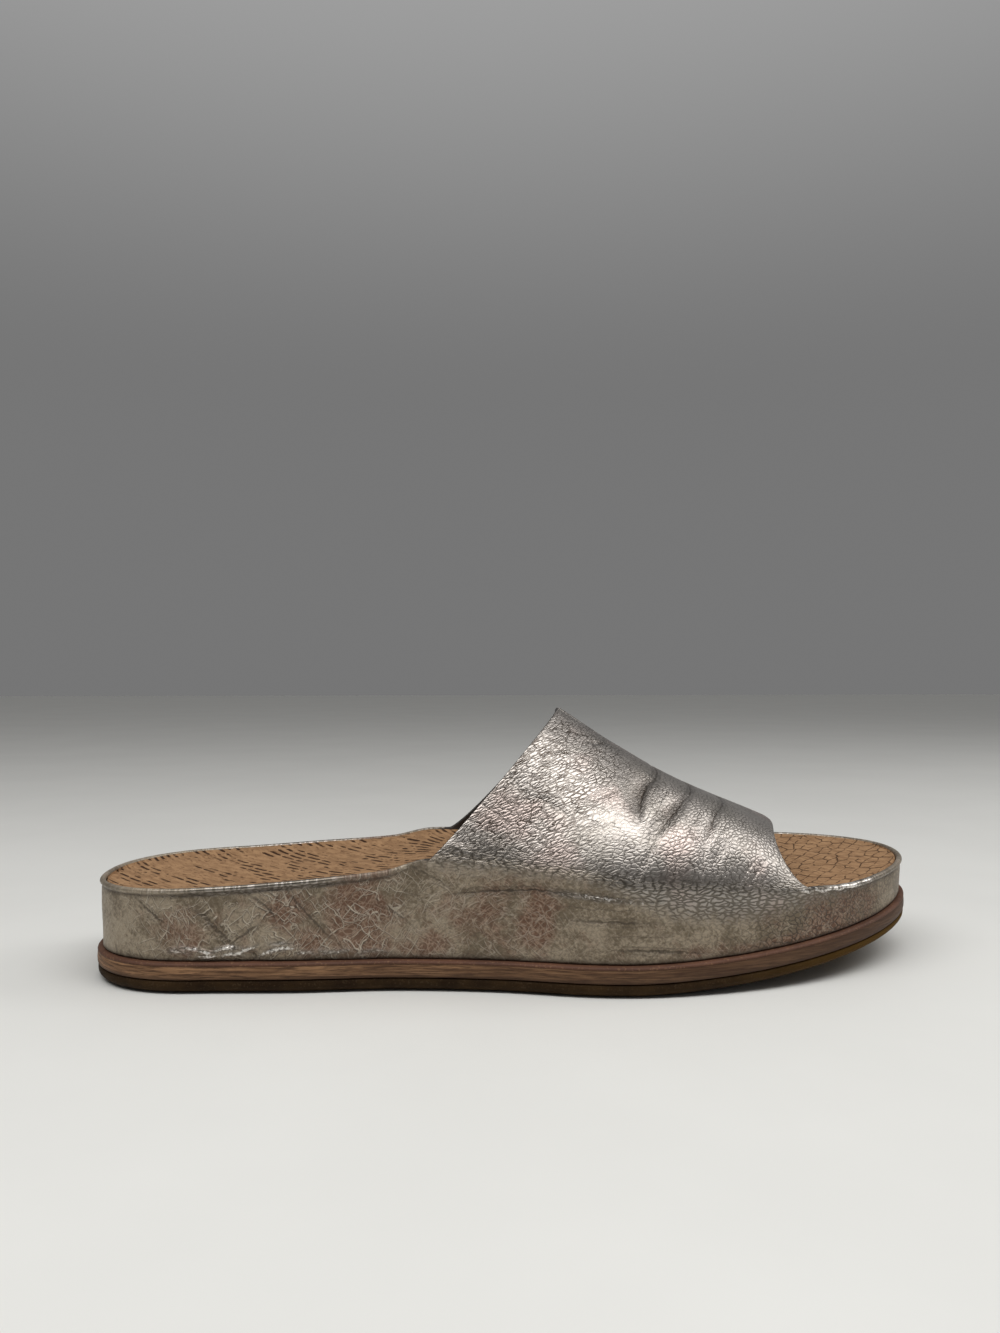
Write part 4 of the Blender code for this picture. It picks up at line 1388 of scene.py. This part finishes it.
def glossy_colour(spot, strap):
    """Colour of the foil where it shines."""
    foil = use_group(MOTTLE, Vector=spot, Dark=FOIL_GREY, Light=FOIL_PALE, Fleck=FURROW_AND_SHADE,
                     Cloud=0.07, Speck=1.2, Flecks=0.08)["Colour"]
    foil = mixed(remap(noise_at(spot, 0.04), 0.5, 0.68), foil, FOIL_ROSE)
    dark = most(times(strap.furrow, GLOSS_FURROW), times(strap.crisp, GLOSS_CREASE))
    # Paints shade over the strap's low flank.
    return mixed(strap.tarnish, mixed(dark, foil, FURROW_AND_SHADE), FOIL_LOW_SHADE)


def dull_colour(spot, strap, band, speckle):
    """Colour of the foil where it is worn."""
    tone = plus(
        remap(noise_at(spot, 0.09, detail=5.0), 0.35, 0.65), swung(speckle, TONE_SPECKLE),
        times(band.crumple, TONE_CRUMPLE), times(band.hatch, TONE_HATCH), times(band.crackled, TONE_CRACKLE),
    )
    dull = mixed(remap(tone, -0.3, 1.3), FOIL_KHAKI, FOIL_DULL)
    hide = mixed(times(band.hatch, HIDE_HATCH), HIDE_BROWN, HIDE_LIGHT)
    # The lit lines paint a highlight, and the cracks also paint shade under the wrinkles.
    covers = (
        (band.gone, DULL_HIDE, hide), (band.cracks, DULL_CRACK, FURROW_AND_SHADE), (strap.furrow, DULL_FURROW, FURROW_AND_SHADE),
        (band.lit, DULL_LINE, CREST_HIGHLIGHT), (strap.crisp, DULL_CREASE, FURROW_AND_SHADE),
    )
    for mark, share, colour in covers:
        dull = mixed(times(mark, share), dull, colour)
    return dull


def foil_leather():
    material, tree, shader = new_material("foil_leather")
    spot = place(tree)
    skin = scaled(attribute(tree, "skin", "Vector"), 1 / MM)
    wavy = swayed(swayed(skin, 0.2, 3.0), 0.8, 0.9)
    ruffled = swayed(swayed(skin, 0.06, 6.0), 0.3, 0.8)
    gloss = frayed_gloss(tree, skin)
    matt = minus(1.0, gloss)
    strap = strap_marks(tree, skin, wavy, ruffled, gloss)
    band = band_marks(tree, skin, spot, wavy, ruffled, matt)
    speckle = noise_at(spot, 0.9, detail=4.0, roughness=0.65)

    raised = plus(band.crumple, times(band.lit, LINE_RISE), times(band.hatch, matt, HATCH_RISE),
                  times(speckle, matt, SPECKLE_RISE), times(strap.dome, DOME_RISE))
    sunk = plus(band.cracks, times(strap.furrow, FURROW_DEPTH), times(strap.crisp, CREASE_DEPTH))
    feed(shader, Normal=bumped(minus(raised, sunk), LEATHER_RELIEF))

    colour = mixed(gloss, dull_colour(spot, strap, band, speckle), glossy_colour(spot, strap))
    # Painted highlights on the band's ridges.
    glint = remap(plus(attribute(tree, "ridge"), swung(speckle, GLINT_FRAY)), 0.55, 1.0)
    colour = mixed(times(glint, RIDGE_GLINT), colour, FOIL_GLINT)
    # Painted shade in the creases, along the band's base and in the groove under its bead.
    feed(shader, Base_Color=mixed(attribute(tree, "painted_shade"), colour, FURROW_AND_SHADE))

    bare = times(band.gone, matt)
    metal = plus(remap(gloss, 0.0, 1.0, METAL_DULL, METAL_GLOSSY), times(bare, METAL_BARE))
    roughness = plus(remap(gloss, 0.0, 1.0, ROUGH_DULL, ROUGH_GLOSSY), times(bare, ROUGH_BARE))
    feed(shader, Metallic=metal, Roughness=roughness)
    return material


def inked_leather(ink):
    material, tree, shader = new_material(ink.name, Roughness=ink.roughness)
    spot = place(tree)
    colour = use_group(MOTTLE, Vector=spot, Dark=ink.dark, Light=ink.light, Fleck=ink.fleck,
                       Cloud=ink.cloud, Speck=ink.speck, Flecks=ink.flecks)["Colour"]
    relief = use_group(TOOTH, Vector=spot, Coarse=ink.coarse, Fine=4.0, Share=ink.share)["Height"]
    feed(shader, Base_Color=colour, Normal=bumped(relief, ink.depth))
    return material


# Where each kind of grain begins and is full, as shares along the strap and up it from its nearer foot (0) to
# the crown (0.5), or in millimetres under the band's rim
LYING_UP = (0.05, 0.11)
NET_UP, NET_ALONG = (0.07, 0.13), (0.25, 0.45)
DEEP_UP, DEEP_ALONG = (0.14, 0.20), (0.5, 0.8)
FOOT_UP = (0.0, 0.12)
BEAD_UNDER = (0.6, 1.6)

# Middle and half width of the smooth place on the flank, along and up, and how much each place adds to the
# depth of the grain
SMOOTH_ALONG, SMOOTH_UP = (0.42, 0.20), (0.23, 0.09)
SMOOTH_GRAIN, FRONT_GRAIN, FOOT_GRAIN, BAND_GRAIN = -0.5, 0.25, 0.3, 1.3

# Painted shade in the creases, along the band's base and in the groove under its bead: how much, and its
# middle and half width, in shares of the band's height or in millimetres under its rim
CREASE_SHADE = 0.72
BASE_SHADE, BASE_PLACE = 0.75, (0.0, 0.045)
GROOVE_SHADE, GROOVE_PLACE = 0.6, (1.05, 0.35)


def strap_shares():
    """Shares along the strap, and up it from its nearer foot, for each point of its grid."""
    along = np.linspace(0, 1, STRAP_STEPS + 1)[:, None]
    up = (1 - (1 - np.linspace(0, 1, FLANK_STEPS + 1)) ** FLANK_CROWD) / 2
    return along, np.concatenate([up, up[-2::-1]])[None, :]


def under_rim(side):
    """How far below its rim each point of the band lies, in millimetres."""
    points = bands[side].points
    return (points[:, -1:, 2] - points[:, :, 2]) / MM


def grain_lie():
    """0 where the leather's grain runs up and over the strap, 1 where it lies along the foot."""
    _, up = strap_shares()
    return joined(1.0, 1.0, 1 - ramp(up, *LYING_UP))


def grain_front():
    """1 over the front of the strap, where the grain is a fine even net, and 0 behind and below."""
    along, up = strap_shares()
    return joined(0.0, 0.0, ramp(along, *NET_ALONG) * ramp(up, *NET_UP))


def grain_depth():
    """How deep the leather's grain is: deep behind and below, shallow over the smooth middle of the flank,
    and none on the band's rolled rim."""
    along, up = strap_shares()
    middle = bell(along, *SMOOTH_ALONG) * bell(up, *SMOOTH_UP)
    front = ramp(along, *DEEP_ALONG) * ramp(up, *DEEP_UP)
    foot = 1 - ramp(up, *FOOT_UP)
    depth = 1 + SMOOTH_GRAIN * middle + FRONT_GRAIN * front + FOOT_GRAIN * foot
    beads = [(1 - ramp(under_rim(side), *BEAD_UNDER)) * bands[side].free[:, None] for side in SIDE_SIGN]
    return joined(*(BAND_GRAIN * (1 - bead) for bead in beads), depth)


def foil_wear(column):
    """A column of the wear table at each outer point. The strap has the wear of its outer foot."""
    wear = [np.clip(smooth(FOIL_WEAR, column, STATIONS[side] / MM), 0, 1)[:, None] for side in SIDE_SIGN]
    return joined(*wear, wear[0][UNDER_STRAP])


def shaded_hollows():
    """How much shade is painted at each outer point: in the creases, along the band's base and under its
    bead.
    """
    painted = []
    for side in SIDE_SIGN:
        _, share, free = bands[side]
        groove = GROOVE_SHADE * free[:, None] * bell(under_rim(side), *GROOVE_PLACE)
        painted.append(np.maximum(BASE_SHADE * bell(share, *BASE_PLACE), groove))
    return np.maximum(joined(*painted, 0.0), CREASE_SHADE * trough)


followed = np.concatenate(numbers_of)
shading = {
    "skin": np.column_stack([flat, np.zeros(len(flat))]), "gloss": gloss, "worn": worn, "painted_shade": shaded_hollows(),
    "lie": grain_lie(), "front": grain_front(), "grain": grain_depth(), "gap": line_gap / MM, "line": line,
    "ridge": ridge_highlight, "scratches": foil_wear("scratches"), "crackle": foil_wear("crackle"),
}
upper = make_piece(
    "upper_leather", np.concatenate(skins), np.concatenate(faces), np.concatenate(finish),
    **{name: values[followed] for name, values in shading.items()},
)
for made in (foil_leather(), inked_leather(LINING_INK), inked_leather(EDGE_INK)):
    upper.data.materials.append(made)
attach(upper, "root")
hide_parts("upper")


# Studio
# A plain pale floor in a dim grey room, lit by a broad softbox overhead and a small one beyond the toe, and
# seen level from the outer side.

FLOOR_DROP = 0.1 * MM
FLOOR_SIZE = 6.0
FLOOR_PALE = (0.80, 0.795, 0.76, 1)
FLOOR_SHADE = (0.776, 0.771, 0.737, 1)
FLOOR_CORNERS = ((-1, -1), (1, -1), (1, 1), (-1, 1))
Softbox = namedtuple("Softbox", "name place aim size power")
SOFTBOXES = (
    Softbox("overhead", (-0.15, -0.31, 0.90), (-0.15, -0.31, 0.0), (1.7, 0.40), 9.3),
    Softbox("toe_side", (0.90, 0.05, 0.72), (0.0, 0.0, 0.0), (0.45, 0.45), 2.2),
)
ROOM_FRONT, ROOM_BACK, ROOM_CEILING, ROOM_TOE = 0.10, 0.18, 0.24, 0.20
CAMERA_PLACE = (-27.3 * MM, -333.0 * MM, 96 * MM)
CAMERA_TURN = math.radians(-3.5)
CAMERA_LENS = 27.0
CAMERA_SENSOR = 36.0
CAMERA_NEAREST = 0.01


def floor_paint():
    material, tree, shader = new_material("floor_paint", Roughness=0.6)
    colour = use_group(MOTTLE, Vector=place(tree), Dark=FLOOR_SHADE, Light=FLOOR_PALE, Fleck=FLOOR_PALE,
                       Cloud=0.01, Speck=1.0, Flecks=0.0)["Colour"]
    feed(shader, Base_Color=colour)
    return material


floor_half = FLOOR_SIZE / 2
floor_points = [(x * floor_half, y * floor_half, -FLOOR_DROP) for x, y in FLOOR_CORNERS]
floor_mesh = bpy.data.meshes.new("floor")
floor_mesh.from_pydata(floor_points, [], [(0, 1, 2, 3)])
floor_mesh.materials.append(floor_paint())
floor = bpy.data.objects.new("floor", floor_mesh)
bpy.context.scene.collection.objects.link(floor)

for box in SOFTBOXES:
    lamp = bpy.data.lights.new(box.name, "AREA")
    lamp.shape = "RECTANGLE"
    lamp.size, lamp.size_y = box.size
    lamp.energy = box.power
    softbox = bpy.data.objects.new(box.name, lamp)
    softbox.location = box.place
    backward = Vector(box.place) - Vector(box.aim)
    softbox.rotation_euler = backward.to_track_quat("Z", "Y").to_euler()
    bpy.context.scene.collection.objects.link(softbox)

world = bpy.data.worlds.new("room")
world.use_nodes = True
bpy.context.scene.world = world
sky = world.node_tree
direction = add_node(sky, "SeparateXYZ", {0: add_node(sky, "TexCoord").outputs["Generated"]}).outputs
walls = remap(direction[1], 0.1, 0.7, ROOM_FRONT, ROOM_BACK)
ceiling = times(remap(direction[1], -0.3, 0.3), remap(direction[2], 0.25, 0.75), ROOM_CEILING)
toe_wall = times(remap(direction[0], 0.45, 0.85), remap(direction[1], 0.1, 0.5, ROOM_TOE, 0.0))
sky.links.new(plus(ceiling, walls, toe_wall), sky.nodes["Background"].inputs["Color"])

lens = bpy.data.cameras.new("camera")
lens.lens = CAMERA_LENS
lens.sensor_width = CAMERA_SENSOR
lens.clip_start = CAMERA_NEAREST
camera = bpy.data.objects.new("camera", lens)
camera.location = CAMERA_PLACE
camera.rotation_euler = (math.pi / 2, 0, CAMERA_TURN)
bpy.context.scene.collection.objects.link(camera)
bpy.context.scene.camera = camera
bpy.context.scene.view_settings.view_transform = "Standard"
